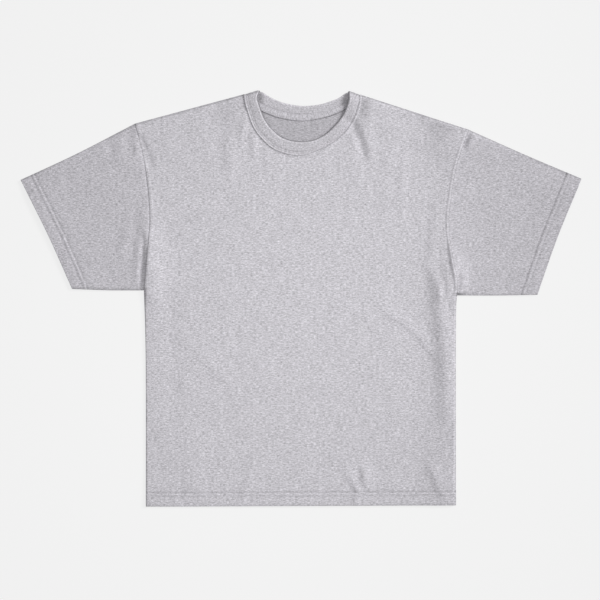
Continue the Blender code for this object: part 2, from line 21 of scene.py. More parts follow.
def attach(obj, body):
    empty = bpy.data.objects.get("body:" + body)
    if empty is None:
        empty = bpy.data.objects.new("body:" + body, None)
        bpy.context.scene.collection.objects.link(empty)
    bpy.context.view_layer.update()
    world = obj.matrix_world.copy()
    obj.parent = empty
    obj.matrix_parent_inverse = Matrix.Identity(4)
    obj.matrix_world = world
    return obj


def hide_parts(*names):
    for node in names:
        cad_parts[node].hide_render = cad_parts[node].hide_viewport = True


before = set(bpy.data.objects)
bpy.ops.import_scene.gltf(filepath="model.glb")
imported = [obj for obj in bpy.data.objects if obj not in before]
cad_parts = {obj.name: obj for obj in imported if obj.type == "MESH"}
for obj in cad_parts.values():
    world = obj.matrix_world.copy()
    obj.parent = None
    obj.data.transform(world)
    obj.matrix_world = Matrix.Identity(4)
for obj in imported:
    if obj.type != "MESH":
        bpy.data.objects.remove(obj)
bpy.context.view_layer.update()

MM = 0.001
BODY = "root"
GRAIN = "grain"             # UV map in metres: U along the knitted courses, V along the wales
PAINTED_SHADING = "painted_shading"       # painted shade along seams, rows, edges and in the neck; below 0 a painted highlight

# Arrays of points: plan points hold x and y in their last axis, solid points x, y and z.
Plan = np.ndarray
Solid = np.ndarray
Field = np.ndarray

GRID_HALF = 0.5             # a new grid reaches this far from its middle
SHARP_ANGLE = 60.0          # degrees between faces from which an edge isn't smoothed over
FOLD_ROUNDNESS = 0.9        # of a hem's fold: 1 is a half circle

# Where the rows and columns of the cloth meshes lie, as distances from an edge.
ROLL_TURNS = np.array([90.0, 67.5, 45.0, 22.5, 0.0])
HEM_MARKS = (0.0, 0.15, 0.45, 0.9, 1.6, 3.0, 6.0, 10.0, 14.0, 16.6, 17.8, 18.9, 20.0, 21.1,
             22.6, 23.9, 24.8, 25.7, 26.6, 27.5, 28.4, 29.4, 31.0)
BAND_MARKS = (2.4, 3.4, 4.5, 5.5, 6.3, 7.1, 8.0, 9.6)
NECK_MARKS = (0.0, 0.5, 1.1, 1.9, 3.0, 4.8)
UNDERARM_MARKS = (0.0, 2.0)
ARMHOLE_MARKS = (0.0, 0.6, 1.3, 2.4, 4.0)


class Side(Enum):
    """The half of the shirt that a piece lies on."""

    LEFT = -1
    RIGHT = 1


class Layer(Enum):
    """Which way a body panel faces as the shirt lies."""

    FRONT = 1
    BACK = -1


@dataclass(frozen=True)
class Gauge:
    """Thicknesses of the cloth and the room that its seams and folds take."""

    jersey: float = 1.2
    rib: float = 2.0
    tape: float = 1.0
    seam_gap: float = 0.3
    edge_radius: float = 1.7
    hem_depth: float = 27.0

    @property
    def fold_height(self) -> float:
        """How high the upper layer's outer face lies where it rolls down to the lower one."""
        return 2 * self.edge_radius + self.seam_gap

    @property
    def fold_radius(self) -> float:
        """The radius of an edge where one piece of cloth turns over."""
        return self.fold_height / 2


GAUGE = Gauge()


def soft_step(value: Field) -> Field:
    """0 below 0, 1 above 1 and a soft climb between."""
    value = np.clip(value, 0.0, 1.0)
    return value * value * (3.0 - 2.0 * value)


def round_step(share: Field) -> Field:
    """A step from 0 up to 1 over the first unit of share, with the profile of a rolled edge."""
    return np.sqrt(1.0 - (1.0 - np.clip(share, 0.0, 1.0)) ** 2)


def hump(distance: Field, centre: float, width: float) -> Field:
    """A soft hump of height 1 at one distance."""
    return np.exp(-((distance - centre) / width) ** 2)


def unit(vectors: np.ndarray) -> np.ndarray:
    """The same directions, along the last axis, with a length of 1."""
    return vectors / np.linalg.norm(vectors, axis=-1, keepdims=True)


def quarter_turn(along: Plan) -> Plan:
    """Directions in plan, turned by 90 degrees to the left."""
    return np.stack((-along[..., 1], along[..., 0]), axis=-1)


def steps_along(points: np.ndarray) -> np.ndarray:
    """How far along a chain of points each one lies, from 0 up."""
    return np.concatenate(([0.0], np.cumsum(np.linalg.norm(np.diff(points, axis=0), axis=1))))


def roll_distances(radius: float) -> np.ndarray:
    """How far from a rolled edge each of its lines lies in plan, from the edge inwards."""
    return radius * (1.0 - np.sin(np.radians(ROLL_TURNS)))


def marks_along(length: float, first: Sequence[float], count: int,
                last: Sequence[float]) -> np.ndarray:
    """Distances along an edge that are close together near its ends.

    Args:
        length: Length of the edge.
        first: Close marks at the start, from 0 up.
        count: Even steps between the close marks.
        last: Close marks at the end, from 0 up, measured back from it.

    Returns:
        All the distances, from 0 to the length.
    """
    middle = np.linspace(first[-1], length - last[-1], count + 1)[1:]
    end = length - np.array(last[::-1])[1:]
    return np.concatenate((first, middle, end))


def points_between(start: Plan, end: Plan, distances: np.ndarray) -> Plan:
    """Points at distances along the straight line from start towards end."""
    return start + np.asarray(distances)[:, None] * unit(end - start)


def chord_shares(points: Plan) -> np.ndarray:
    """How far along a chain of points each one lies, from 0 to 1."""
    distances = steps_along(points)
    return distances / distances[-1]


def coons_patch(bottom: Plan, top: Plan, left: Plan, right: Plan) -> Plan:
    """Fill the inside of four rows of points that share their corners.

    Args:
        bottom: Points from the left to the right.
        top: As many points, also from the left to the right.
        left: Points from the bottom to the top.
        right: As many points, also from the bottom to the top.

    Returns:
        A grid with one row for each point of left and one column for each point of bottom.
    """
    u = chord_shares(bottom)[None, :, None]
    v = chord_shares(left)[:, None, None]
    ruled = (1 - v) * bottom[None] + v * top[None] + (1 - u) * left[:, None] + u * right[:, None]
    low = (1 - u) * bottom[0] + u * bottom[-1]
    high = (1 - u) * top[0] + u * top[-1]
    return ruled - (1 - v) * low - v * high


def distance_to_chain(points: Plan, chain: Plan) -> tuple[Field, Field]:
    """Measure how far points lie from a chain of straight stretches.

    Args:
        points: Plan points, one a row.
        chain: The chain's corners, one a row.

    Returns:
        The distance of each point from the chain, and how far along the chain it is nearest.
    """
    start, along = chain[:-1], np.diff(chain, axis=0)
    length = np.linalg.norm(along, axis=1)
    offset = points[:, None] - start
    share = np.clip((offset * along).sum(axis=2) / length ** 2, 0.0, 1.0)
    gap = np.linalg.norm(offset - share[..., None] * along, axis=2)
    nearest = gap.argmin(axis=1)
    row = np.arange(len(points))
    before = np.concatenate(([0.0], np.cumsum(length)))[nearest]
    return gap[row, nearest], before + share[row, nearest] * length[nearest]


class SmoothLine:
    """A smooth line through the rows of a table, read by the distance along it in plan."""

    STEPS = 24  # samples from one row to the next

    def __init__(self, rows: Sequence[Sequence[float]]) -> None:
        """Draw the line through every row.

        Args:
            rows: Table rows that start with x and y; any further values change along with them.
        """
        table = np.array(rows, dtype=float)
        last = len(table) - 1
        index = np.arange(last)
        before, start = table[np.maximum(index - 1, 0)], table[index]
        end, after = table[index + 1], table[np.minimum(index + 2, last)]
        slope_in, slope_out = (end - before) / 2, (after - start) / 2
        cubic = (2 * (start - end) + slope_in + slope_out)[:, None]
        square = (3 * (end - start) - 2 * slope_in - slope_out)[:, None]
        share = (np.arange(self.STEPS) / self.STEPS)[None, :, None]
        bent = start[:, None] + share * (slope_in[:, None] + share * (square + share * cubic))
        self.samples = np.vstack((bent.reshape(-1, table.shape[1]), table[-1:]))
        self.distances = steps_along(self.samples[:, :2])
        self.length = float(self.distances[-1])

    def at(self, distances: np.ndarray) -> np.ndarray:
        """All the values of the line at distances along it."""
        columns = [np.interp(distances, self.distances, column) for column in self.samples.T]
        return np.stack(columns, axis=-1)

    def plan(self, distances: np.ndarray) -> Plan:
        """The points in plan at distances along the line."""
        return self.at(distances)[..., :2]

    def row_distance(self, index: int) -> float:
        """The distance along the line to one of its table rows, counted from either end."""
        rows = self.distances[::self.STEPS]
        return float(rows[index])

    def chain(self, step: float = 6.0) -> Plan:
        """The line as straight stretches of about a step each."""
        count = max(2, round(self.length / step))
        return self.plan(np.linspace(0.0, self.length, count + 1))


@dataclass(frozen=True)
class Corner:
    """One corner of the outline, on the left and on the right half."""

    left: tuple[float, float]
    right: tuple[float, float]

    def on(self, side: Side) -> Plan:
        """The corner's point on one half."""
        return np.array(self.left if side is Side.LEFT else self.right)


@dataclass(frozen=True)
class Outline:
    """The outline of the shirt and its armhole seams in plan."""

    hem: Corner = Corner((-279.4, -375.2), (279.2, -372.7))
    waist: Corner = Corner((-279.7, -110), (279, -57))
    underarm: Corner = Corner((-283, 14), (281, 5))
    cuff_low: Corner = Corner((-412.2, 16.7), (425.7, 6.2))
    cuff_high: Corner = Corner((-504.9, 213.2), (504.9, 215.6))
    shoulder: Corner = Corner((-298.8, 314.7), (301.5, 303.9))
    neck: Corner = Corner((-103.3, 367.4), (107.6, 366.8))
    armhole: tuple[Corner, ...] = (
        Corner((-280.6, 31), (279.3, 38)),
        Corner((-277, 75), (272.9, 70)),
        Corner((-271.8, 132), (265.7, 128)),
        Corner((-272.8, 170), (268.5, 172)),
        Corner((-277.4, 215), (277.2, 228)),
        Corner((-285.1, 264), (287.5, 264)),
    )

    def side_seam(self, side: Side) -> SmoothLine:
        """The side seam from the hem up to the underarm."""
        return SmoothLine([corner.on(side) for corner in (self.hem, self.waist, self.underarm)])

    def armhole_seam(self, side: Side) -> SmoothLine:
        """The armhole seam from the underarm up to the shoulder corner."""
        corners = (self.underarm, *self.armhole, self.shoulder)
        return SmoothLine([corner.on(side) for corner in corners])

    def hem_edge(self) -> Plan:
        """The hem as a chain from the left to the right."""
        return np.array([self.hem.on(Side.LEFT), self.hem.on(Side.RIGHT)])

    def folded_edges(self) -> list[Plan]:
        """The stretches of the outline where the upper layer rolls down to the lower one.

        Returns:
            A chain of corners for each stretch.
        """
        edges = []
        for side in Side:
            low = (self.hem, self.underarm, self.cuff_low)
            high = (self.cuff_high, self.shoulder, self.neck)
            edges += [np.array([corner.on(side) for corner in chain]) for chain in (low, high)]
        return edges

    def edge_gap(self, points: Plan) -> Field:
        """How far each point lies from the closest folded edge."""
        gaps = [distance_to_chain(points, edge)[0] for edge in self.folded_edges()]
        return np.minimum.reduce(gaps)

    def shoulder_out(self, side: Side) -> Plan:
        """The direction in plan that points out of the shirt across a shoulder seam."""
        out = quarter_turn(unit(self.neck.on(side) - self.shoulder.on(side)))
        return out if out[1] > 0 else -out


OUTLINE = Outline()


class Station(NamedTuple):
    """A place on the neck: the rib's sewn edge and its free edge."""

    seam_x: float
    seam_y: float
    free_x: float
    free_y: float


@dataclass(frozen=True)
class Neckline:
    """The neck seam of both layers, with the rib's free edge beside it."""

    left_fold: Station = Station(-102.6, 364.6, -75.7, 372.5)
    right_fold: Station = Station(106.6, 364.2, 85.1, 371.3)
    front: tuple[Station, ...] = (
        Station(-101.7, 354.7, -80, 360),
        Station(-97.4, 338.5, -75.9, 344),
        Station(-88.2, 312.2, -67.5, 323.4),
        Station(-74.5, 291, -56, 306.4),
        Station(-50.4, 269, -37.4, 290),
        Station(-22, 258.4, -16.5, 282.3),
        Station(2, 256.9, 3, 281.2),
        Station(31, 266.2, 23, 284.7),
        Station(57.5, 279.6, 44.5, 296.4),
        Station(79.7, 298.5, 64, 315),
        Station(95.9, 322.3, 76.8, 333.4),
        Station(103.5, 343.5, 83.4, 349.4),
        Station(106, 356.3, 86, 361.4),
    )
    back: tuple[Station, ...] = (
        Station(-91.8, 356.5, -69.5, 371),
        Station(-76, 345.8, -58.5, 364.4),
        Station(-58, 337.4, -45, 357.3),
        Station(-33, 329.2, -27, 351),
        Station(3, 324.8, 3, 346.4),
        Station(40, 329.8, 33, 349),
        Station(64, 337.5, 52, 354.4),
        Station(82, 346.8, 68, 360.8),
        Station(95, 355.8, 78.3, 368),
    )

    def line(self, layer: Layer) -> SmoothLine:
        """The neck seam of a layer from its left to its right shoulder corner.

        Args:
            layer: The front or the back of the neck.

        Returns:
            The line, whose values are those of a station.
        """
        middle = self.front if layer is Layer.FRONT else self.back
        left = self.moved(self.left_fold, OUTLINE.neck.on(Side.LEFT))
        right = self.moved(self.right_fold, OUTLINE.neck.on(Side.RIGHT))
        return SmoothLine((left, self.left_fold, *middle, self.right_fold, right))

    @staticmethod
    def moved(station: Station, corner: Plan) -> Station:
        """The same station, moved so that its sewn edge lies on a corner."""
        shift_x, shift_y = corner - station[:2]
        return Station(*corner, station.free_x + shift_x, station.free_y + shift_y)


NECKLINE = Neckline()


@dataclass(frozen=True)
class Swell:
    """A broad soft rise of the upper layer."""

    x: float
    y: float
    reach_x: float
    reach_y: float
    rise: float

    def height(self, points: Plan) -> Field:
        """How much the swell adds at each point."""
        offset = (points - (self.x, self.y)) / (self.reach_x, self.reach_y)
        return self.rise * np.exp(-(offset ** 2).sum(axis=-1))


# Painted shade inside the two corners of the neck, where the cloth is tucked away in the fold.
PAINTED_NECK_CORNER_SHADES = (Swell(81, 350, 9.5, 19, 0.9), Swell(-73.5, 361, 5.5, 12, 1.2))


@dataclass(frozen=True)
class Crease:
    """A soft ridge, or a trough where its rise is negative, along a slightly bent line."""

    start: tuple[float, float]
    end: tuple[float, float]
    width: float
    rise: float
    lean: float = 0.0           # above 0 its flank towards +X is the steeper one
    bend: float = 0.0           # how far its middle lies towards +X of the straight line
    ends: float = 0.0           # how far it fades out past its ends; half its width where 0

    END_SHARE = 0.6    # how much of its rise is left at its ends

    def height(self, points: Plan) -> Field:
        """How much the crease adds at each point.

        Args:
            points: Plan points, one a row.

        Returns:
            The added height of each point.
        """
        start = np.array(self.start)
        along = np.array(self.end) - start
        length = float(np.linalg.norm(along))
        along = along / length
        offset = points - start
        share = offset @ along / length
        inside = np.clip(share, 0.0, 1.0)
        middle = 4.0 * inside * (1.0 - inside)
        sideways = quarter_turn(along)
        if sideways[0] < 0:
            sideways = -sideways
        across = offset @ sideways - self.bend * middle
        width = self.width * (1.0 - self.lean * np.sign(across))
        beyond = (share - inside) * length
        ends = self.ends or self.width / 2
        away = (2.0 * across / width) ** 2 + (beyond / ends) ** 2
        share_of_rise = self.END_SHARE + (1.0 - self.END_SHARE) * middle
        return self.rise * share_of_rise * np.exp(-away)


@dataclass(frozen=True)
class Pucker:
    """The uneven gathering of cloth along a sewn line, as waves of a length and a share."""

    waves: tuple[tuple[float, float], ...] = ((47.0, 0.3), (23.0, 0.3), (13.1, 0.25), (8.3, 0.15))

    def at(self, along: Field, start: float = 0.0) -> Field:
        """How far the cloth is gathered at distances along the line, between -1 and 1.

        Args:
            along: Distances along the line.
            start: Where the line starts along the waves.

        Returns:
            One value for each distance.
        """
        total = np.zeros_like(along)
        for length, share in self.waves:
            total += share * np.sin(2.0 * math.pi * (along + start) / length + length)
        return total


PUCKER = Pucker()


@dataclass(frozen=True)
class SeamRelief:
    """The shape of cloth beside a seam: a groove, a pressed band with a stitched row, and painted
    shade.
    """

    groove: float
    groove_width: float
    groove_place: float = 0.0
    band: float = 0.0
    band_width: float = 1.0
    flank: float = 2.0
    slant: float = 0.0          # how much lower the band is at the seam than at its crest
    shelf: float = 0.0          # how much of the band's height fades away over shelf_fade
    shelf_fade: float = 26.0
    stitch_row: float = 0.0
    stitch_depth: float = 0.0
    # painted shade on the stitched row and along the seam itself
    stitch_painted_shade: float = 0.0
    seam_painted_shade: float = 0.0
    gather: float = 0.0
    half: Side | None = None    # the half of the seam that it is for; all of it where None

    HALF_BLEND = 80.0      # how wide the two halves of a seam blend
    BAND_PUCKER = 0.25     # how much of the band's height is uneven
    GATHER_REACH = 7.0
    STITCH_GROOVE = 0.7    # width of the furrow that the stitches press in
    PAINTED_SHADE_REACH = 0.9

    def share(self, points: Plan) -> Field:
        """How much of the relief each point takes, from 0 to 1.

        Args:
            points: Plan points, one a row.

        Returns:
            A share for each point.
        """
        if self.half is None:
            return np.ones(len(points))
        return soft_step(0.5 + self.half.value * points[:, 0] / self.HALF_BLEND)

    def height(self, distance: Field, along: Field) -> Field:
        """How much the seam adds at distances from it and along it.

        Args:
            distance: Distances from the seam.
            along: Distances along the seam.

        Returns:
            The added height of each point.
        """
        pressed = 1.0 - soft_step((distance - self.band_width + self.flank) / self.flank)
        crest = self.band_width - self.flank
        shelf = self.shelf * (1.0 - soft_step((distance - crest) / self.shelf_fade))
        pressed = pressed * (1.0 - self.shelf) + shelf
        pressed *= 1.0 - self.slant * np.clip(1.0 - distance / max(crest, 0.1), 0.0, 1.0)
        unevenness = PUCKER.at(along)
        relief = -self.groove * hump(distance, self.groove_place, self.groove_width)
        relief += pressed * self.band * (1.0 + self.BAND_PUCKER * unevenness)
        relief -= self.stitch_depth * hump(distance, self.stitch_row, self.STITCH_GROOVE)
        gathered = unevenness * hump(distance, self.band_width, self.GATHER_REACH)
        return relief + self.gather * gathered

    def painted_shading(self, distance: Field) -> Field:
        """Painted shade along the seam and along its stitched row, at distances from the seam, from
        0 to 1.
        """
        seam = self.seam_painted_shade * hump(distance, 0.0, self.PAINTED_SHADE_REACH)
        return seam + self.stitch_painted_shade * hump(distance, self.stitch_row, self.PAINTED_SHADE_REACH)


@dataclass(frozen=True)
class HemRelief:
    """The shape of a turned-up hem: thicker cloth, two stitched rows and a soft pucker, with its
    painted shade.
    """

    rows: tuple[float, ...]
    depths: tuple[float, ...]
    # painted shade along each stitched row
    painted_shades: tuple[float, ...]
    ridge: float = 0.0
    lift: float = 0.9
    puff: float = 0.3
    row_width: float = 1.5
    step: float = 0.35
    gather: float = 0.16
    fade: float = 45.0
    # painted shade near the folded edge; below 0 a painted highlight
    edge_painted_shade: float = 0.25

    STEP_RISE = 1.6        # how wide the step above the rows is
    STEP_FADE = 14.0
    RIDGE_WIDTH = 2.2
    GATHER_BELOW = 4.0     # the gathers are deepest this far below the top row
    GATHER_REACH = 14.0
    GATHER_SLANT = 0.5
    PAINTED_SHADE_PUCKER = 0.35     # how uneven the painted shade along the rows is
    PAINTED_SHADE_START = 5.0
    PAINTED_SHADE_REACH = 1.3
    # where the painted shade near the folded edge lies, and how far it reaches
    EDGE_PLACE = 1.6
    EDGE_REACH = 1.2

    def height(self, distance: Field, along: Field, start: float) -> Field:
        """How much the hem adds to the cloth.

        Args:
            distance: Distances from the hem's edge.
            along: Distances along the hem.
            start: Where the uneven gathering of this hem starts.

        Returns:
            The added height of each point.
        """
        above = distance - self.rows[-1]
        relief = self.lift * (1.0 - soft_step(above / self.fade))
        fading = np.exp(-np.maximum(above, 0.0) / self.STEP_FADE)
        relief -= self.step * soft_step(above / self.STEP_RISE) * fading
        inside = np.clip(distance / self.rows[0], 0.0, 1.0)
        relief += self.puff * np.sin(math.pi * inside)
        for row, depth in zip(self.rows, self.depths):
            relief -= depth * hump(distance, row, self.row_width)
        relief += self.ridge * hump(distance, sum(self.rows) / 2, self.RIDGE_WIDTH)
        near_rows = hump(distance, self.rows[-1] - self.GATHER_BELOW, self.GATHER_REACH)
        slanted = along + self.GATHER_SLANT * distance
        return relief + self.gather * near_rows * PUCKER.at(slanted, start)

    def painted_shading(self, distance: Field, along: Field) -> Field:
        """Painted shade along the stitched rows and near the folded edge; below 0 a painted
        highlight.

        Args:
            distance: Distances from the hem's edge.
            along: Distances along the hem.

        Returns:
            The painted shade at each point.
        """
        unevenness = 1.0 + self.PAINTED_SHADE_PUCKER * PUCKER.at(along, self.PAINTED_SHADE_START)
        painted_shades = sum(painted_shade * hump(distance, row, self.PAINTED_SHADE_REACH)
                    for row, painted_shade in zip(self.rows, self.painted_shades))
        edge = self.edge_painted_shade * hump(distance, self.EDGE_PLACE, self.EDGE_REACH)
        return painted_shades * unevenness + edge


# Painted shade is part of these seams: along the seam itself and on its stitched row.
ARMHOLE_BODY = {
    Side.LEFT: SeamRelief(0.3, 0.9, band=0.5, band_width=8.0, flank=3.0, slant=0.5,
                          stitch_row=6.3, stitch_depth=0.2, stitch_painted_shade=0.12, seam_painted_shade=0.3,
                          gather=0.12),
    Side.RIGHT: SeamRelief(0.05, 0.8, band=1.5, band_width=6.8, flank=3.6, slant=0.4,
                           shelf=0.4, stitch_row=5.0, stitch_depth=0.12, stitch_painted_shade=0.12,
                           gather=0.12),
}
ARMHOLE_SLEEVE = {
    Side.LEFT: SeamRelief(0.55, 1.9, 1.4, seam_painted_shade=0.3, gather=0.1),
    Side.RIGHT: SeamRelief(0.05, 0.8, band=0.95, band_width=4.4, flank=4.4, gather=0.1),
}
NECK_BODY = {
    Side.LEFT: SeamRelief(0.05, 0.6, band=1.0, band_width=2.2, flank=2.2, seam_painted_shade=0.1,
                          gather=0.12, half=Side.LEFT),
    Side.RIGHT: SeamRelief(0.05, 0.6, band=1.25, band_width=2.9, flank=2.2, gather=0.12,
                           half=Side.RIGHT),
}
# The third values of the hem and the cuffs paint shade along their stitched rows; the cuffs' edge
# value paints shade at the folded edge, and on the left, below 0, a painted highlight.
HEM = HemRelief((17.6, 24.5), (0.2, 0.75), (0.12, 0.7), ridge=0.5)
CUFFS = {
    Side.LEFT: HemRelief((19.4, 27.3), (0.3, 0.55), (0.2, 0.7), ridge=0.5, edge_painted_shade=-0.3),
    Side.RIGHT: HemRelief((20.6, 28.3), (0.35, 0.6), (0.2, 0.7), ridge=0.5, edge_painted_shade=0.4),
}


CUFF_WAVES = 31.0           # shifts the gathering of the right cuff against the left one's


@dataclass(frozen=True)
class Sewing:
    """The seams and the hem that shape one piece of cloth."""

    seams: list[tuple[Plan, SeamRelief]]
    hem: HemRelief
    edge: Plan                  # the hem's edge, as a chain
    start: float = 0.0          # where the uneven gathering of the hem starts

    @classmethod
    def of_panel(cls) -> Self:
        """The sewing of a body panel.

        Returns:
            The seams and the hem.
        """
        seams = [(OUTLINE.armhole_seam(side).chain(), ARMHOLE_BODY[side]) for side in Side]
        seams += [(NECKLINE.line(Layer.FRONT).chain(), NECK_BODY[side]) for side in Side]
        return cls(seams, HEM, OUTLINE.hem_edge())

    @classmethod
    def of_sleeve(cls, side: Side, cuff: Plan) -> Self:
        """The sewing of a sleeve, which ends at the chain cuff."""
        seams = [(OUTLINE.armhole_seam(side).chain(), ARMHOLE_SLEEVE[side])]
        return cls(seams, CUFFS[side], cuff, CUFF_WAVES * side.value)

    def hem_painted_shading(self, points: Plan) -> Field:
        """Painted shade from the hem's rows and edge at each point."""
        return self.hem.painted_shading(*distance_to_chain(points, self.edge))


# The folds of the front and of the sleeve tops.
UPPER_CREASES = (
    # The right side, from the armhole down to the hem.
    Crease((231, 64), (247, 8), 56, 2.8, -0.6, 2, 12),
    Crease((247, 16), (263, -200), 54, 7.4, -0.42, 4),
    Crease((196, 20), (214, -200), 62, -1.1),
    Crease((242, 164), (234, 74), 24, 1.5, -0.4),
    # The right armhole, shoulder, hem and waist.
    Crease((296, 296), (272, 40), 58, 2, 0, -14),
    Crease((150, 330), (292, 283), 36, -1.5),
    Crease((278, -235), (279, -345), 84, 7),
    Crease((152, -29), (238, -105), 16, 1.5, -0.5, 10),
    # Under the right arm, down the right side and at the right cuff.
    Crease((288, 92), (290, 48), 54, 1, -0.2, 0, 14),
    Crease((263, 58), (265, 8), 28, 3.6, -0.5, 0, 10),
    Crease((269.5, 90), (279, 24), 20, 3.5, -0.5),
    Crease((250, 26), (250.5, -4), 9, 2.4, 0.3),
    Crease((279, 4), (282, -38), 32, 3.4, -0.5),
    Crease((286, -238), (286, -270), 36, 5, -0.4),
    Crease((290, 46), (283, 8), 12, 4, -0.3, 4, 5),
    Crease((511, 218), (500, 192), 46, 3.4, -0.3, 0, 14),
    # Both sides of the right armhole seam's head.
    Crease((304, 300), (290.5, 270), 9, -3.2),
    Crease((311, 300), (298, 271), 11, 2.6, -0.3),
    # Right of the neck.
    Crease((130, 374), (127, 326), 85, 8, -0.55, 0, 26),
    Crease((112, 322), (98, 292), 34, 2.2, -0.4),
    Crease((91, 316), (113, 254), 12, -2.6, 0.1, 3),
    Crease((106, 314), (128, 248), 18, 1.8, -0.25, 3),
    Crease((133, 256), (152, 226), 20, -0.8),
    # The right shoulder.
    Crease((196, 336), (206, 262), 84, -1.5, -0.2),
    Crease((240, 286), (272, 304), 11, -0.9),
    Crease((296, 334), (290, 298), 150, 8.5, -0.3, 0, 42),
    Crease((262, 318), (258, 276), 60, 4.2, -0.3, 0, 20),
    Crease((204, 318), (232, 324), 12, -0.6),
    # The right of the chest.
    Crease((155, 268), (150, 160), 18, 0.8, -0.3),
    Crease((184, 262), (178, 150), 18, 0.8, -0.3),
    Crease((146, 250), (142, 190), 14, 0.5),
    # Left of the neck.
    Crease((-99, 348), (-109, 272), 12, 1.6, -0.25),
    Crease((-88, 304), (-85, 258), 12, 1.7, -0.25),
    Crease((-63, 270), (-61, 226), 11, 0.9, -0.25),
    Crease((-129, 290), (-126, 222), 22, 1.5, -0.2),
    # The left shoulder and the head of the left sleeve.
    Crease((-116, 372), (-112, 306), 46, 2, 0.1),
    Crease((-156, 350), (-146, 300), 40, -1.1),
    Crease((-288, 288), (-268.5, 238), 13, -2.6, 0.4, 1),
    Crease((-306, 308), (-305, 262), 14, -2.6, 0.3),
    Crease((-349, 292), (-340, 260), 16, -1.4),
    # Both sides of the left armhole seam and under the left arm.
    Crease((-283, 106), (-290.5, 6), 11, -1.8, -0.2),
    Crease((-281, 160), (-286, 100), 44, 2, -0.55),
    Crease((-276.5, 116), (-283.5, 8), 20, 3.2, -0.3, 3),
    Crease((-262, 88), (-267, 6), 38, 4.6, -0.1),
    Crease((-292, 104), (-294, 26), 14, 1.5, 0.2),
    Crease((-310, 128), (-322, 76), 18, 1.2),
    # The left side and the left of the waist.
    Crease((-270, 0), (-268, -225), 26, 0.5),
    Crease((-235, 5), (-232, -225), 30, -1.1),
    Crease((-200, -84), (-122, -169), 20, 0.8, -0.4),
    Crease((-115, -55), (-115, -122), 14, -0.5),
    # Above the hem.
    Crease((-88, -300), (-110, -372), 13, 1.4, -0.3),
    Crease((-16, -330), (-14, -366), 12, -0.5),
    Crease((-217, -326), (-214, -356), 12, -0.5),
    Crease((80, -316), (101, -345), 15, 2, -0.5),
    Crease((110, -308), (115, -336), 18, 2.9, -0.5),
    Crease((99, -345), (96, -371), 12, 1.2, -0.5),
    Crease((-203, -268), (-200, -345), 52, 1.6, -0.3),
    Crease((231, -300), (254, -352), 17, 1.8, -0.2),
)


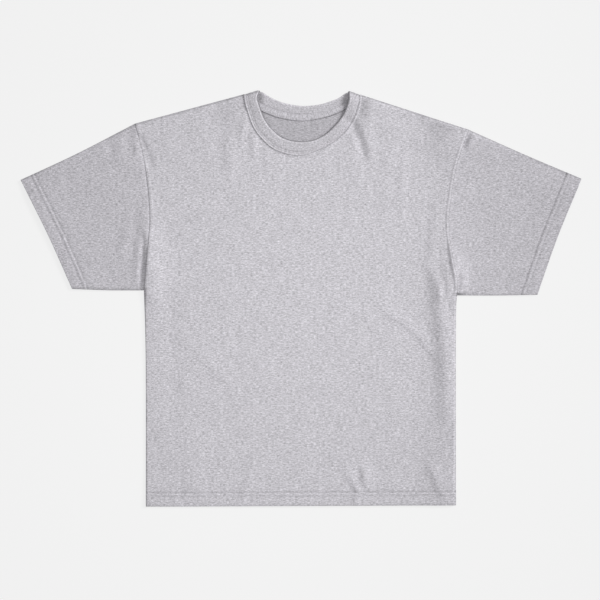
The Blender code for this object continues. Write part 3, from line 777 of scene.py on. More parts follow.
@dataclass(frozen=True)
class UpperRelief:
    """How high the outer face of the upper layer lies: the front panel and the sleeve tops."""

    rest_height: float = 4.2
    edge_rise: float = 40.0     # how far in from an edge the cloth reaches that height
    crease_rise: float = 5.0    # and how far in a crease has its full rise
    seam_reach: float = 30.0
    # Painted shade along the rolled edges: how strong, where it lies and how far it reaches.
    edge_painted_shade: float = 0.8
    edge_place: float = 1.8
    edge_reach: float = 1.7
    underarm: tuple[float, float] = (284.0, 40.0)   # past it the right sleeve's edge takes less painted shade
    underarm_blend: float = 4.0
    underarm_ease: float = 0.9
    swells: tuple[Swell, ...] = (
        Swell(5, -40, 190, 260, 1.5),
        Swell(-490, 150, 50, 105, 1.6),
        Swell(522, 190, 72, 84, 4.6),
        Swell(262, -330, 44, 60, 1.7),
    )
    neck_lifts: tuple[Swell, ...] = (
        Swell(96, 358, 30, 30, 0.8),
        Swell(-96, 354, 36, 34, 1.6),
        Swell(0, 276, 74, 42, -1.1),
    )
    creases: tuple[Crease, ...] = UPPER_CREASES

    def neck_lift(self, points: Plan) -> Field:
        """How far the neck stands up off the back panel."""
        return sum(swell.height(points) for swell in self.neck_lifts)

    def inside(self, points: Plan) -> Field:
        """How far each point lies inside the folded edges, past where they roll."""
        return OUTLINE.edge_gap(points) - GAUGE.edge_radius

    def creased(self, points: Plan, inside: Field) -> Field:
        """How much the creases and the standing neck add, at points so far inside the edges."""
        crease = sum(row.height(points) for row in self.creases)
        return (crease + self.neck_lift(points)) * round_step(inside / self.crease_rise)

    def cloth(self, points: Plan) -> Field:
        """The height of the outer face before any seam or hem shapes it.

        Args:
            points: Plan points, one a row.

        Returns:
            The height of each point.
        """
        inside = self.inside(points)
        swell = sum(row.height(points) for row in self.swells)
        rest = (self.rest_height - GAUGE.fold_height + swell) * soft_step(inside / self.edge_rise)
        return GAUGE.fold_height + rest + self.creased(points, inside)

    def seams(self, points: Plan, sewing: Sewing) -> Field:
        """What seams add to the height of the points near them.

        Args:
            points: Plan points, one a row.
            sewing: The seams and the hem of the piece.

        Returns:
            The added height of each point.
        """
        added = np.zeros(len(points))
        for chain, relief in sewing.seams:
            low = chain.min(axis=0) - self.seam_reach
            high = chain.max(axis=0) + self.seam_reach
            near = ((points > low) & (points < high)).all(axis=1)
            if near.any():
                distance, along = distance_to_chain(points[near], chain)
                added[near] += relief.share(points[near]) * relief.height(distance, along)
        return added

    def height(self, points: Plan, sewing: Sewing) -> Field:
        """The height of a piece's outer face, kept clear of the lower layer.

        Args:
            points: Plan points, one a row.
            sewing: The seams and the hem of the piece.

        Returns:
            The height of each point.
        """
        height = self.cloth(points) + self.seams(points, sewing)
        height += sewing.hem.height(*distance_to_chain(points, sewing.edge), sewing.start)
        lower = LOWER.cloth(points) + GAUGE.jersey
        return np.maximum(height, lower + GAUGE.jersey + GAUGE.seam_gap)

    def painted_shading(self, points: Plan, sewing: Sewing) -> Field:
        """Painted shade on a piece of the upper layer at each point: along its rolled edges, seams
        and rows.

        Args:
            points: Plan points, one a row.
            sewing: The seams and the hem of the piece.

        Returns:
            The painted shade at each point.
        """
        edge = hump(OUTLINE.edge_gap(points), self.edge_place, self.edge_reach)
        start_x, top_y = self.underarm
        under = soft_step((points[:, 0] - start_x) / self.underarm_blend) * (points[:, 1] < top_y)
        painted_total = self.edge_painted_shade * edge * (1.0 - self.underarm_ease * under)
        for chain, relief in sewing.seams:
            distance = distance_to_chain(points, chain)[0]
            painted_total += relief.share(points) * relief.painted_shading(distance)
        return painted_total + sewing.hem_painted_shading(points)


# The light folds of the layer underneath; a lean of 5 or more makes them very broad.
LOWER_CREASES = (
    # The sides and the shoulder blades.
    Crease((-236, 20), (-240, -250), 26, 0.45, 6),
    Crease((232, 30), (244, -210), 26, 0.45, -5),
    Crease((-214, 200), (-130, 40), 30, 0.35, 8),
    Crease((208, 190), (140, 30), 30, 0.35, -8),
    # The waist and the hem.
    Crease((-60, -80), (70, -120), 28, 0.3, 6),
    Crease((-120, -290), (-98, -352), 22, 0.4),
    Crease((104, -300), (88, -352), 22, 0.4),
    # The sleeves.
    Crease((-330, 90), (-420, 140), 26, 0.4, 5),
    Crease((325, 80), (415, 130), 26, 0.4, -5),
)


@dataclass(frozen=True)
class LowerRelief:
    """How far the outer face of the lower layer lifts off the surface under it."""

    edge_fade: float = 12.0
    creases: tuple[Crease, ...] = LOWER_CREASES

    def cloth(self, points: Plan) -> Field:
        """The height of the outer face, which is 0 where the cloth rests flat."""
        crease = sum(row.height(points) for row in self.creases)
        return crease * soft_step(OUTLINE.edge_gap(points) / self.edge_fade)


UPPER = UpperRelief()
LOWER = LowerRelief()


class ClothWall:
    """A wall of cloth made from a grid: its own faces turn into the outside of the piece."""

    def __init__(self, outer: Solid, inner: Solid, grain: Plan, painted_shading: Field,
                 ring: bool = False) -> None:
        """Lay out the wall.

        Args:
            outer: Grid of points on the outer face, in millimetres, nan where there is no cloth.
            inner: The same grid on the inner face.
            grain: Where each point lies on the flat knitted cloth, in millimetres.
            painted_shading: Painted shade on the outer face at each point, from 0 to 1; below 0 a
                painted highlight.
            ring: Whether the last column is the first one again.
        """
        self.outer, self.inner, self.grain, self.painted_shading = outer, inner, grain, painted_shading
        self.mesh = bmesh.new()
        rows, columns = outer.shape[0] - 1, outer.shape[1] - 1
        bmesh.ops.create_grid(self.mesh, x_segments=columns, y_segments=rows, size=GRID_HALF)
        self.column = self.mesh.verts.layers.int.new("column")
        self.row = self.mesh.verts.layers.int.new("row")
        self.painted_shade = self.mesh.verts.layers.float.new(PAINTED_SHADING)
        for vertex in self.mesh.verts:
            vertex[self.column] = round((vertex.co.x + GRID_HALF) * columns)
            vertex[self.row] = round((vertex.co.y + GRID_HALF) * rows)
        self.cut_away()
        if ring:
            self.close_ring()
        self.thicken()
        self.lay_grain()

    def cut_away(self) -> None:
        """Delete the part of the grid where there is no cloth."""
        empty = [vertex for vertex in self.mesh.verts
                 if np.isnan(self.outer[vertex[self.row], vertex[self.column], 0])]
        if empty:
            bmesh.ops.delete(self.mesh, geom=empty, context="VERTS")

    def close_ring(self) -> None:
        """Join the last column to the first one."""
        self.place(self.mesh.verts, self.outer)
        bmesh.ops.remove_doubles(self.mesh, verts=list(self.mesh.verts), dist=MM / 1000)

    def thicken(self) -> None:
        """Add the inner face and the edges that join it to the outer face."""
        outside = list(self.mesh.verts)
        faces = list(self.mesh.faces)
        made = bmesh.ops.extrude_face_region(self.mesh, geom=faces, use_keep_orig=True)
        inside = [item for item in made["geom"] if isinstance(item, BMVert)]
        for item in made["geom"]:
            if isinstance(item, BMFace):
                item.material_index = 1
        self.place(outside, self.outer)
        self.place(inside, self.inner)
        # Painted shade goes on the outer face only.
        for vertex in outside:
            vertex[self.painted_shade] = self.painted_shading[vertex[self.row], vertex[self.column]]
        bmesh.ops.recalc_face_normals(self.mesh, faces=list(self.mesh.faces))

    def place(self, vertices: Sequence[BMVert], points: Solid) -> None:
        """Move vertices to their points of a grid."""
        for vertex in vertices:
            vertex.co = points[vertex[self.row], vertex[self.column]] * MM

    def lay_grain(self) -> None:
        """Write where each point lies on the flat cloth to a UV map, in metres."""
        uv = self.mesh.loops.layers.uv.new(GRAIN)
        flat = self.grain * MM
        for face in self.mesh.faces:
            for loop in face.loops:
                loop[uv].uv = flat[loop.vert[self.row], loop.vert[self.column]]


def make_piece(name: str, mesh: BMesh, finishes: Sequence[Material]) -> Object:
    """Turn a finished bmesh into a piece of the shirt.

    Args:
        name: Name of the piece.
        mesh: Its shape, in metres; it is freed here.
        finishes: Materials of its right side and, where there is one, its wrong side.

    Returns:
        The object, which rides on the shirt's only body.
    """
    data = bpy.data.meshes.new(name)
    mesh.to_mesh(data)
    mesh.free()
    data.shade_smooth()
    data.set_sharp_from_angle(angle=math.radians(SHARP_ANGLE))
    for finish in finishes:
        data.materials.append(finish)
    piece = bpy.data.objects.new(name, data)
    bpy.context.scene.collection.objects.link(piece)
    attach(piece, BODY)
    logging.info("%s: %d faces", name, len(data.polygons))
    return piece


@dataclass
class CutPiece:
    """A cut piece of the shirt, modelled in place of its node."""

    name: str
    node: str
    flat: tuple[float, float]   # what shows of it, laid out flat, in metres
    flat_area: float | None     # in square metres; None where the flat piece is a rectangle

    SLOT = "jersey"

    def mesh(self) -> BMesh:
        """The shape of the piece, in metres."""
        raise NotImplementedError

    def build(self, finishes: Sequence[Material]) -> None:
        """Model the piece and let it replace its node."""
        self.object = make_piece(self.name, self.mesh(), finishes)
        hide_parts(self.node)


def wall_points(plan: Plan, height: Field, facing: int, turn: Field, out: Plan, radius: float,
                thickness: Field) -> tuple[Solid, Solid, Plan]:
    """The two faces of a wall of cloth and its grain, also where it rolls round an edge.

    Args:
        plan: Grid of points in plan.
        height: Height of the outer face before it rolls.
        facing: 1 where the outer face looks up, -1 where it looks down.
        turn: How far the cloth has rolled at each point, in degrees.
        out: Which way it rolls, as unit directions in plan.
        radius: Radius of the rolled outer face.
        thickness: Thickness of the wall at each point.

    Returns:
        The grids of points of the outer and of the inner face, and where they lie on the flat
        cloth.
    """
    angle = np.radians(turn)
    z = height - facing * radius * (1.0 - np.cos(angle))
    outer = np.concatenate((plan, z[..., None]), axis=-1)
    normal = np.concatenate((out * np.sin(angle)[..., None],
                             facing * np.cos(angle)[..., None]), axis=-1)
    grain = plan + out * (radius * (angle - np.sin(angle)))[..., None]
    return outer, outer - normal * thickness[..., None], grain


def hem_thickness(distance: Field) -> Field:
    """The wall's thickness at distances from a hem's edge, which is double in the hem."""
    return np.where(distance <= GAUGE.hem_depth, 2.0 * GAUGE.jersey, GAUGE.jersey)


def round_fold(outer: Solid, inner: Solid, distance: Field, facing: int) -> None:
    """Round the folded edge of a hem, where its two faces come together.

    Args:
        outer: Outer face, changed in place.
        inner: Inner face, changed in place.
        distance: Distance of each point from the folded edge.
        facing: 1 where the outer face looks up, -1 where it looks down.
    """
    half = np.abs(outer[..., 2] - inner[..., 2]) / 2
    short = np.clip(half - distance, 0.0, None)
    inset = FOLD_ROUNDNESS * (half - np.sqrt(np.maximum(half ** 2 - short ** 2, 0.0)))
    outer[..., 2] -= facing * inset
    inner[..., 2] += facing * inset


@dataclass
class BodyPanel(CutPiece):
    """A body panel: one wall of jersey, rolled at its sides and shoulders, its hem turned up."""

    layer: Layer
    side_count: int             # rows up the side seam
    arm_count: int              # rows up the armhole below the strap
    strap_count: int            # rows up the strap beside the neck
    half_count: int             # columns from a side to the neck
    neck_count: int             # columns below the neck
    strap_length: float         # along the armhole, above the row that meets the neck's low part
    neck_side_length: float     # along the neck seam, beside that strap
    hem_neck_share: float = 0.33    # of the hem's width: where the neck's columns reach it

    def __post_init__(self) -> None:
        """Work out the plan of the panel."""
        self.neck = NECKLINE.line(self.layer)
        self.roll = roll_distances(GAUGE.edge_radius)
        self.border = (*self.roll, *BAND_MARKS)
        self.points = self.plan()

    def side_marks(self, side: Side) -> tuple[Plan, int, int]:
        """Points up a side seam and its armhole.

        Args:
            side: The half of the shirt.

        Returns:
            The points, the row of the underarm, and the row where the strap begins.
        """
        seam, armhole = OUTLINE.side_seam(side), OUTLINE.armhole_seam(side)
        strap_start = armhole.length - self.strap_length
        body = marks_along(seam.length, HEM_MARKS, self.side_count, UNDERARM_MARKS)
        arm = marks_along(strap_start, UNDERARM_MARKS, self.arm_count, NECK_MARKS)
        strap = marks_along(self.strap_length, (0.0,), self.strap_count, self.roll)
        upper = np.concatenate((arm[1:], strap_start + strap[1:]))
        points = np.vstack((seam.plan(body), armhole.plan(upper)))
        underarm_row = len(body) - 1
        return points, underarm_row, underarm_row + len(arm) - 1

    def half_row(self, edge: Plan, neck: Plan) -> Plan:
        """Points from a side edge in to the neck."""
        marks = marks_along(np.linalg.norm(neck - edge), self.border, self.half_count, NECK_MARKS)
        return points_between(edge, neck, marks)

    def whole_row(self, left: Plan, right: Plan, middle: Plan) -> Plan:
        """Points from the left to the right edge, by way of the neck's columns."""
        left_half, right_half = self.half_row(left, middle[0]), self.half_row(right, middle[-1])
        return np.vstack((left_half, middle[1:-1], right_half[::-1]))

    def neck_side(self) -> tuple[Plan, Plan]:
        """Points up the left and up the right side of the neck, beside the straps.

        Returns:
            The left and the right points, from the bottom up.
        """
        up = marks_along(self.neck_side_length, (0.0,), self.strap_count, self.roll)
        from_top = self.neck_side_length - up
        return self.neck.plan(from_top), self.neck.plan(self.neck.length - from_top)

    def plan(self) -> Plan:
        """The grid of points in plan, nan inside the notch for the neck.

        Returns:
            The grid: rows from the hem up, columns from the left on.
        """
        left, self.underarm_row, cut = self.side_marks(Side.LEFT)
        right, _, _ = self.side_marks(Side.RIGHT)
        start = self.neck_side_length
        low = self.neck.plan(np.linspace(start, self.neck.length - start, self.neck_count + 1))
        hem_left, hem_right = left[0], right[0]
        share = np.linspace(self.hem_neck_share, 1.0 - self.hem_neck_share, self.neck_count + 1)
        hem_middle = hem_left + share[:, None] * (hem_right - hem_left)
        hem = self.whole_row(hem_left, hem_right, hem_middle)
        middle = self.whole_row(left[cut], right[cut], low)
        neck_left, neck_right = self.neck_side()
        half = len(self.half_row(left[cut], low[0]))
        points = np.full((len(left), len(middle), 2), np.nan)
        points[:cut + 1] = coons_patch(hem, middle, left[:cut + 1], right[:cut + 1])
        top_left = self.half_row(left[-1], neck_left[-1])
        top_right = self.half_row(right[-1], neck_right[-1])[::-1]
        points[cut:, :half] = coons_patch(middle[:half], top_left, left[cut:], neck_left)
        points[cut:, -half:] = coons_patch(middle[-half:], top_right, neck_right, right[cut:])
        self.half = half
        return points

    def turns(self) -> tuple[Field, Plan]:
        """How far the cloth has rolled at each point, and which way.

        Returns:
            The turn of each point in degrees, and a direction in plan.
        """
        turn, out = np.zeros(self.points.shape[:2]), np.zeros(self.points.shape)
        rim = len(ROLL_TURNS) - 1
        low = slice(0, self.underarm_row + 1)
        turn[low, :rim], out[low, :rim] = ROLL_TURNS[:rim], (-1.0, 0.0)
        turn[low, -rim:], out[low, -rim:] = ROLL_TURNS[:rim][::-1], (1.0, 0.0)
        turn[-rim:] = ROLL_TURNS[:rim][::-1, None]
        out[-rim:, :self.half] = OUTLINE.shoulder_out(Side.LEFT)
        out[-rim:, self.half:] = OUTLINE.shoulder_out(Side.RIGHT)
        return turn, out

    def mesh(self) -> BMesh:
        """Model the panel.

        Returns:
            Its shape, in metres.
        """
        facing = self.layer.value
        cloth = ~np.isnan(self.points[..., 0])
        flat, sewing = self.points[cloth], Sewing.of_panel()
        height, painted_shading = np.zeros(cloth.shape), np.zeros(cloth.shape)
        if self.layer is Layer.FRONT:
            height[cloth] = UPPER.height(flat, sewing)
            painted_shading[cloth] = UPPER.painted_shading(flat, sewing)
        else:
            height[cloth], painted_shading[cloth] = LOWER.cloth(flat), sewing.hem_painted_shading(flat)
        hem_distance = np.full(cloth.shape, np.inf)
        hem_distance[cloth] = distance_to_chain(flat, sewing.edge)[0]
        turn, out = self.turns()
        thickness, rim = hem_thickness(hem_distance), len(ROLL_TURNS)
        thickness[:, :rim] = thickness[:, -rim:] = GAUGE.jersey
        outer, inner, grain = wall_points(self.points, height, facing, turn, out,
                                          GAUGE.edge_radius, thickness)
        round_fold(outer, inner, hem_distance, facing)
        return ClothWall(outer, inner, grain, painted_shading).mesh


@dataclass
class Sleeve(CutPiece):
    """A set-in sleeve that lies flat: a tube of jersey, open at the armhole and at the cuff."""

    side: Side
    top_bow: float
    cuff_bow: float
    underarm_bow: float
    across_count: int = 96
    along_count: int = 52

    def __post_init__(self) -> None:
        """Work out the plan of the sleeve."""
        self.armhole = OUTLINE.armhole_seam(self.side)
        self.middle = (OUTLINE.cuff_high.on(self.side) + OUTLINE.underarm.on(self.side)) / 2
        self.cuff = self.bowed(OUTLINE.cuff_low.on(self.side), OUTLINE.cuff_high.on(self.side),
                               self.cuff_bow)
        self.points = self.plan()

    def bowed(self, start: Plan, end: Plan, bow: float) -> SmoothLine:
        """A shallow arc between two corners, bowed towards the middle of the sleeve.

        Args:
            start: The first corner.
            end: The last corner.
            bow: How far the middle of the arc is moved.

        Returns:
            The arc.
        """
        centre = (start + end) / 2
        across = quarter_turn(unit(end - start))
        if across @ (self.middle - centre) < 0:
            across = -across
        return SmoothLine((start, centre + across * bow, end))

    def off_seam(self, distances: np.ndarray) -> Plan:
        """Points of the armhole seam, moved out by the gap between panel and sleeve.

        Args:
            distances: Distances along the armhole seam.

        Returns:
            A point for each distance.
        """
        along = self.armhole.plan(distances + 1.0) - self.armhole.plan(distances - 1.0)
        inwards = quarter_turn(unit(along)) * self.side.value
        return self.armhole.plan(distances) - inwards * GAUGE.seam_gap

    def plan(self) -> Plan:
        """The grid of points in plan: a row for each station across, a column along.

        Returns:
            The grid, from the underarm up and from the armhole to the cuff.
        """
        roll = roll_distances(GAUGE.fold_radius)
        across = marks_along(self.armhole.length, roll, self.across_count, roll)
        seam = self.off_seam(across)
        low = self.bowed(seam[0], OUTLINE.cuff_low.on(self.side), self.underarm_bow)
        high = self.bowed(seam[-1], OUTLINE.cuff_high.on(self.side), self.top_bow)
        cuff = self.cuff.plan(marks_along(self.cuff.length, roll, self.across_count, roll))
        edges = [line.plan(marks_along(line.length, ARMHOLE_MARKS, self.along_count, HEM_MARKS))
                 for line in (low, high)]
        return coons_patch(*edges, seam, cuff)

    def edge_out(self) -> Plan:
        """The direction out of the sleeve across its underarm and its top, for each column.

        Returns:
            Two rows of unit directions.
        """
        outs = []
        for edge, upwards in ((self.points[0], False), (self.points[-1], True)):
            out = quarter_turn(unit(np.gradient(edge, axis=0)))
            flip = (out[:, 1] > 0) != upwards
            out[flip] *= -1.0
            outs.append(out)
        return np.array(outs)

    def layer(self, facing: int) -> tuple[Solid, Solid, Plan, Field]:
        """One layer of the flattened tube.

        Args:
            facing: 1 for the layer on top, -1 for the one underneath.

        Returns:
            Its outer face, its inner face, its grain and its painted shade.
        """
        shape, flat = self.points.shape[:2], self.points.reshape(-1, 2)
        sewing = Sewing.of_sleeve(self.side, self.cuff.chain())
        if facing > 0:
            height, painted_shading = UPPER.height(flat, sewing), UPPER.painted_shading(flat, sewing)
        else:
            height, painted_shading = LOWER.cloth(flat), sewing.hem_painted_shading(flat)
        height, painted_shading = height.reshape(shape), painted_shading.reshape(shape)
        distance = distance_to_chain(flat, sewing.edge)[0].reshape(shape)
        rim = len(ROLL_TURNS) - 1
        turn, out = np.zeros(shape), np.zeros(self.points.shape)
        low_out, high_out = self.edge_out()
        turn[:rim], out[:rim] = ROLL_TURNS[:rim, None], low_out
        turn[-rim:], out[-rim:] = ROLL_TURNS[:rim][::-1, None], high_out
        thickness = hem_thickness(distance)
        thickness[:rim + 1] = thickness[-rim - 1:] = GAUGE.jersey
        outer, inner, grain = wall_points(self.points, height, facing, turn, out,
                                          GAUGE.fold_radius, thickness)
        round_fold(outer, inner, distance, facing)
        return outer, inner, grain, painted_shading

    def mesh(self) -> BMesh:
        """Model the sleeve as a ring of both layers.

        Returns:
            Its shape, in metres.
        """
        upper, lower = self.layer(1), self.layer(-1)
        ring = [np.concatenate((top, bottom[-2::-1])) for top, bottom in zip(upper, lower)]
        return ClothWall(*(np.swapaxes(grid, 0, 1) for grid in ring), ring=True).mesh


class RibPoint(NamedTuple):
    """A point of the rib's cross-section.

    The share is of the rib's width, the offset is added to it, the height is off the middle
    of the cloth, the wale is how much of the raised ribs shows there, painted_shading is the
    painted shade there (below 0 a painted highlight), the lip is how far the point is on the
    turned-under edge, the row is how far it is on the stitched row, and the ease is how much
    lower it lies on the right.
    """

    share: float
    offset: float
    height: float
    wale: float
    painted_shading: float = 0.0
    lip: float = 0.0
    row: float = 0.0
    ease: float = 0.0


@dataclass
class NeckRib(CutPiece):
    """The neck rib: a strip folded double and closed to a ring that turns over at the shoulders."""

    name: str = "neck_rib_knit"
    node: str = "neck_rib"
    flat: tuple[float, float] = (0.524, 0.0244)
    flat_area: float = 0.0122
    axis_height: float = 2.8    # of the line about which the rib turns over
    turn_radius: float = 1.8
    turn_flat: float = 0.6      # how much of that radius it bulges out of the shirt
    step: float = 0.4
    wales_per_step: float = 0.25
    wale_height: float = 0.1
    free_lift: float = 0.5
    free_lifts: tuple[Swell, ...] = (
        Swell(88, 362, 25, 20, 4.6),
        Swell(-79, 350, 26, 34, 3.2),
    )
    # How the painted shade along the sewn edge grows or fades round the neck.
    seam_shades: tuple[Swell, ...] = (
        Swell(45, 275, 52, 40, -0.6),
        Swell(106, 340, 24, 44, -0.7),
    )
    lowest_lift: float = -1.6
    sewn_fade: float = 0.4      # how much of the cloth's creases is lost at the free edge
    fold_press: float = 0.65    # how much of the free lift is pressed flat at a turned edge
    fold_press_reach: float = 5.0
    lip_reach: float = 1.9
    lip_droop: float = 1.3
    stitch_row: float = 7.4
    row_fill: float = 0.5
    right_narrow: float = 2.0
    right_start: float = -20.0  # from here the right half's own sizes come in
    right_blend: float = 80.0
    seam_edge: float = 0.5      # a profile point this close to the seam takes the painted seam shade
    # Painted shade at the two turned edges, and the painted shadow on the free edge's turned-under
    # lip, on the left and on the right.
    turn_shade: float = 0.8
    turn_shade_reach: float = 2.6
    lip_shade: tuple[float, float] = (1.35, 0.8)
    turn_steps: int = 10
    stitch_step: int = 5        # stations from one point of a stitched row to the next
    # The fifth value of a point is its painted shade; below 0, on the crest of the free edge, a
    # painted highlight.
    profile: tuple[RibPoint, ...] = (
        RibPoint(0.0, 0.25, 0.3, 0.0, 0.8),
        RibPoint(0.0, 0.3, 0.85, 0.1, 0.3),
        RibPoint(0.0, 0.6, 1.35, 0.4),
        RibPoint(0.0, 1.0, 1.55, 0.5, ease=0.3),
        RibPoint(0.0, 1.5, 1.4, 0.6, ease=0.6),
        RibPoint(0.0, 2.2, 0.85, 0.8, ease=0.4),
        RibPoint(0.0, 3.1, 0.65, 1.0, ease=0.2),
        RibPoint(0.0, 4.3, 0.9, 1.0, ease=0.1),
        RibPoint(0.0, 5.4, 0.98, 1.0),
        RibPoint(0.0, 6.3, 0.92, 0.8),
        RibPoint(0.0, 7.4, 0.38, 0.4, 0.8, row=1.0),
        RibPoint(0.0, 8.5, 0.92, 0.8),
        RibPoint(0.0, 9.8, 1.08, 1.0),
        RibPoint(0.6, 0.0, 1.1, 1.0),
        RibPoint(1.0, -5.4, 1.1, 1.0),
        RibPoint(1.0, -3.2, 1.14, 1.0),
        RibPoint(1.0, -2.0, 1.2, 1.0, -0.3),
        RibPoint(1.0, -1.1, 1.08, 1.0, -0.5),
        RibPoint(1.0, -0.5, 0.8, 0.8, -0.3),
        RibPoint(1.0, -0.15, 0.45, 0.5, 0.6, 0.25),
        RibPoint(1.0, -0.05, 0.32, 0.2, 1.3, 0.7),
        RibPoint(1.0, 0.0, 0.25, 0.0, 1.4, 1.0),
    )

    SLOT = "rib_knit"

    def __post_init__(self) -> None:
        """Work out the stations round the ring."""
        self.front, self.back = NECKLINE.line(Layer.FRONT), NECKLINE.line(Layer.BACK)
        front = self.layer_stations(self.front)
        back = self.layer_stations(self.back)[::-1]
        up, down = np.array([0.0, 0.0, 1.0]), np.array([0.0, 0.0, -1.0])
        right_turn = self.turn(up, Side.RIGHT)
        left_turn = self.turn(down, Side.LEFT)
        right = np.tile(np.array(NECKLINE.right_fold), (len(right_turn), 1))
        left = np.tile(np.array(NECKLINE.left_fold), (len(left_turn), 1))
        self.stations = np.vstack((front, right, back, left, front[:1]))
        self.normals = np.vstack((np.tile(up, (len(front), 1)), right_turn,
                                  np.tile(down, (len(back), 1)), left_turn, up))

    def layer_stations(self, line: SmoothLine) -> np.ndarray:
        """Stations along one layer, from the left to the right turned edge.

        Args:
            line: The layer's neck seam.

        Returns:
            Rows of the values of a station.
        """
        first, last = line.row_distance(1), line.row_distance(-2)
        count = round((last - first) / self.step)
        return line.at(np.linspace(first, last, count + 1))

    def turn(self, start: np.ndarray, side: Side) -> np.ndarray:
        """The directions of the right side while the rib turns over at a shoulder.

        Args:
            start: The direction before the turn.
            side: The shoulder that it turns at.

        Returns:
            A direction for each step.
        """
        fold = NECKLINE.right_fold if side is Side.RIGHT else NECKLINE.left_fold
        slope = np.array([fold.free_x - fold.seam_x, fold.free_y - fold.seam_y])
        out = np.append(quarter_turn(unit(slope)), 0.0)
        if out[1] < 0:
            out = -out
        angles = np.linspace(0.0, math.pi, self.turn_steps + 1)[1:-1, None]
        return start * np.cos(angles) + out * np.sin(angles)

    def line(self, point: RibPoint) -> tuple[Plan, Field]:
        """A line round the ring through one point of its cross-section, in plan.

        Args:
            point: The point of the cross-section.

        Returns:
            A point in plan for each station, and how far it is across the rib, as a share.
        """
        seam, free = self.stations[:, :2], self.stations[:, 2:]
        width = np.linalg.norm(free - seam, axis=1)
        upper = np.maximum(self.normals[:, 2], 0.0)
        narrow = self.right_narrow * self.rightness() * upper
        across = point.share * (width - narrow) + point.offset
        across += self.lip_reach * point.lip * upper
        share = across / width
        return seam + (free - seam) * share[:, None], share

    def surface(self, point: RibPoint, sign: float) -> Solid:
        """A line round the ring through one point of its cross-section.

        Args:
            point: The point of the cross-section.
            sign: 1 on the right side of the ring, -1 on its inner side.

        Returns:
            One solid point for each station.
        """
        plan, share = self.line(point)
        lip = point.lip * np.maximum(self.normals[:, 2], 0.0)
        lift = self.lift(share)
        axis, radius = self.axis_height + lift / 2, self.turn_radius + lift / 2
        wale = self.wale_height * point.wale * np.cos(2.0 * math.pi * self.wales())
        fill = (self.row_fill * point.row - point.ease) * self.rightness()
        height = sign * (point.height + wale + fill) - self.lip_droop * lip
        middle = np.concatenate((plan, axis[:, None]), axis=1)
        outwards = self.turn_flat * self.turn_radius + height
        points = middle + self.normals * np.stack((outwards, outwards, radius + height), axis=1)
        points[:, 2] = np.maximum(points[:, 2], 0.0)
        return points

    def rightness(self) -> Field:
        """How far each station lies on the right half of the neck, from 0 to 1."""
        return soft_step((self.stations[:, 0] - self.right_start) / self.right_blend)

    def painted_shade(self, point: RibPoint) -> Field:
        """Painted shade on the rib at each station, on the line through one point; below 0 a
        painted highlight.

        Args:
            point: The point of the cross-section.

        Returns:
            The pull at each station.
        """
        right, plan = self.rightness(), self.line(point)[0]
        inner = np.clip(-self.normals[:, 2], 0.0, 1.0)
        corner_shade = inner * sum(corner.height(plan) for corner in PAINTED_NECK_CORNER_SHADES)
        painted_shade = point.painted_shading * (1.0 - point.row * right)
        if point.lip:
            low, high = self.lip_shade
            painted_shade = painted_shade * (low + (high - low) * right)
        elif point.share == 0.0 and point.offset < self.seam_edge:
            painted_shade = painted_shade * (1.0 + sum(swell.height(plan) for swell in self.seam_shades))
        turned = hump(self.fold_gap(self.stations), 0.0, self.turn_shade_reach)
        return painted_shade + corner_shade + self.turn_shade * turned

    def fold_gap(self, stations: np.ndarray) -> Field:
        """How far each station lies from the closer one of the two turned edges."""
        folds = [np.array(fold) for fold in (NECKLINE.left_fold, NECKLINE.right_fold)]
        return np.minimum.reduce([np.abs(stations - fold).max(axis=1) for fold in folds])

    def lift(self, share: Field, stations: np.ndarray | None = None) -> Field:
        """How far the front of the neck stands up off the back.

        Args:
            share: Share of the rib's width, from its sewn edge at 0 to its free edge at 1.
            stations: Rows of stations; all those round the ring where none are given.

        Returns:
            The lift at each station.
        """
        stations = self.stations if stations is None else stations
        free = self.free_lift + sum(swell.height(stations[:, 2:]) for swell in self.free_lifts)
        free *= 1.0 - self.fold_press * hump(self.fold_gap(stations), 0.0, self.fold_press_reach)
        seam, across = stations[:, :2], np.clip(share, 0.0, 1.0)
        sewn = np.maximum(UPPER.creased(seam, UPPER.inside(seam)), self.lowest_lift)
        return sewn * (1.0 - self.sewn_fade * across) + free * across

    def wales(self) -> Field:
        """How many raised ribs lie between the first station and each other one.

        Returns:
            A count for each station, which is whole at the last one.
        """
        middle = (self.stations[:, :2] + self.stations[:, 2:]) / 2
        steps = np.linalg.norm(np.diff(middle, axis=0), axis=1)
        steps += 0.5 * np.linalg.norm(np.diff(self.normals, axis=0), axis=1) * self.turn_radius
        distance = np.concatenate(([0.0], np.cumsum(steps)))
        self.length = float(distance[-1])
        count = round(self.length * self.wales_per_step / self.step)
        return distance / self.length * count

    def stitch_line(self, layer: Layer, across: float, over: float) -> Solid:
        """A line on the upper face of one layer of the rib.

        Args:
            layer: The front or the back of the neck.
            across: Distance from the sewn edge.
            over: How far above the middle of the cloth the line lies.

        Returns:
            Solid points along the line, from the left to the right.
        """
        line = self.front if layer is Layer.FRONT else self.back
        stations = self.layer_stations(line)[::self.stitch_step]
        seam, free = stations[:, :2], stations[:, 2:]
        width = np.linalg.norm(free - seam, axis=1)[:, None]
        plan = seam + (free - seam) / width * across
        z = np.full(len(plan), self.axis_height - self.turn_radius + over)
        if layer is Layer.FRONT:
            lift = self.lift(across / width[:, 0], stations)
            z = self.axis_height + self.turn_radius + lift + over
        return np.concatenate((plan, z[:, None]), axis=1)

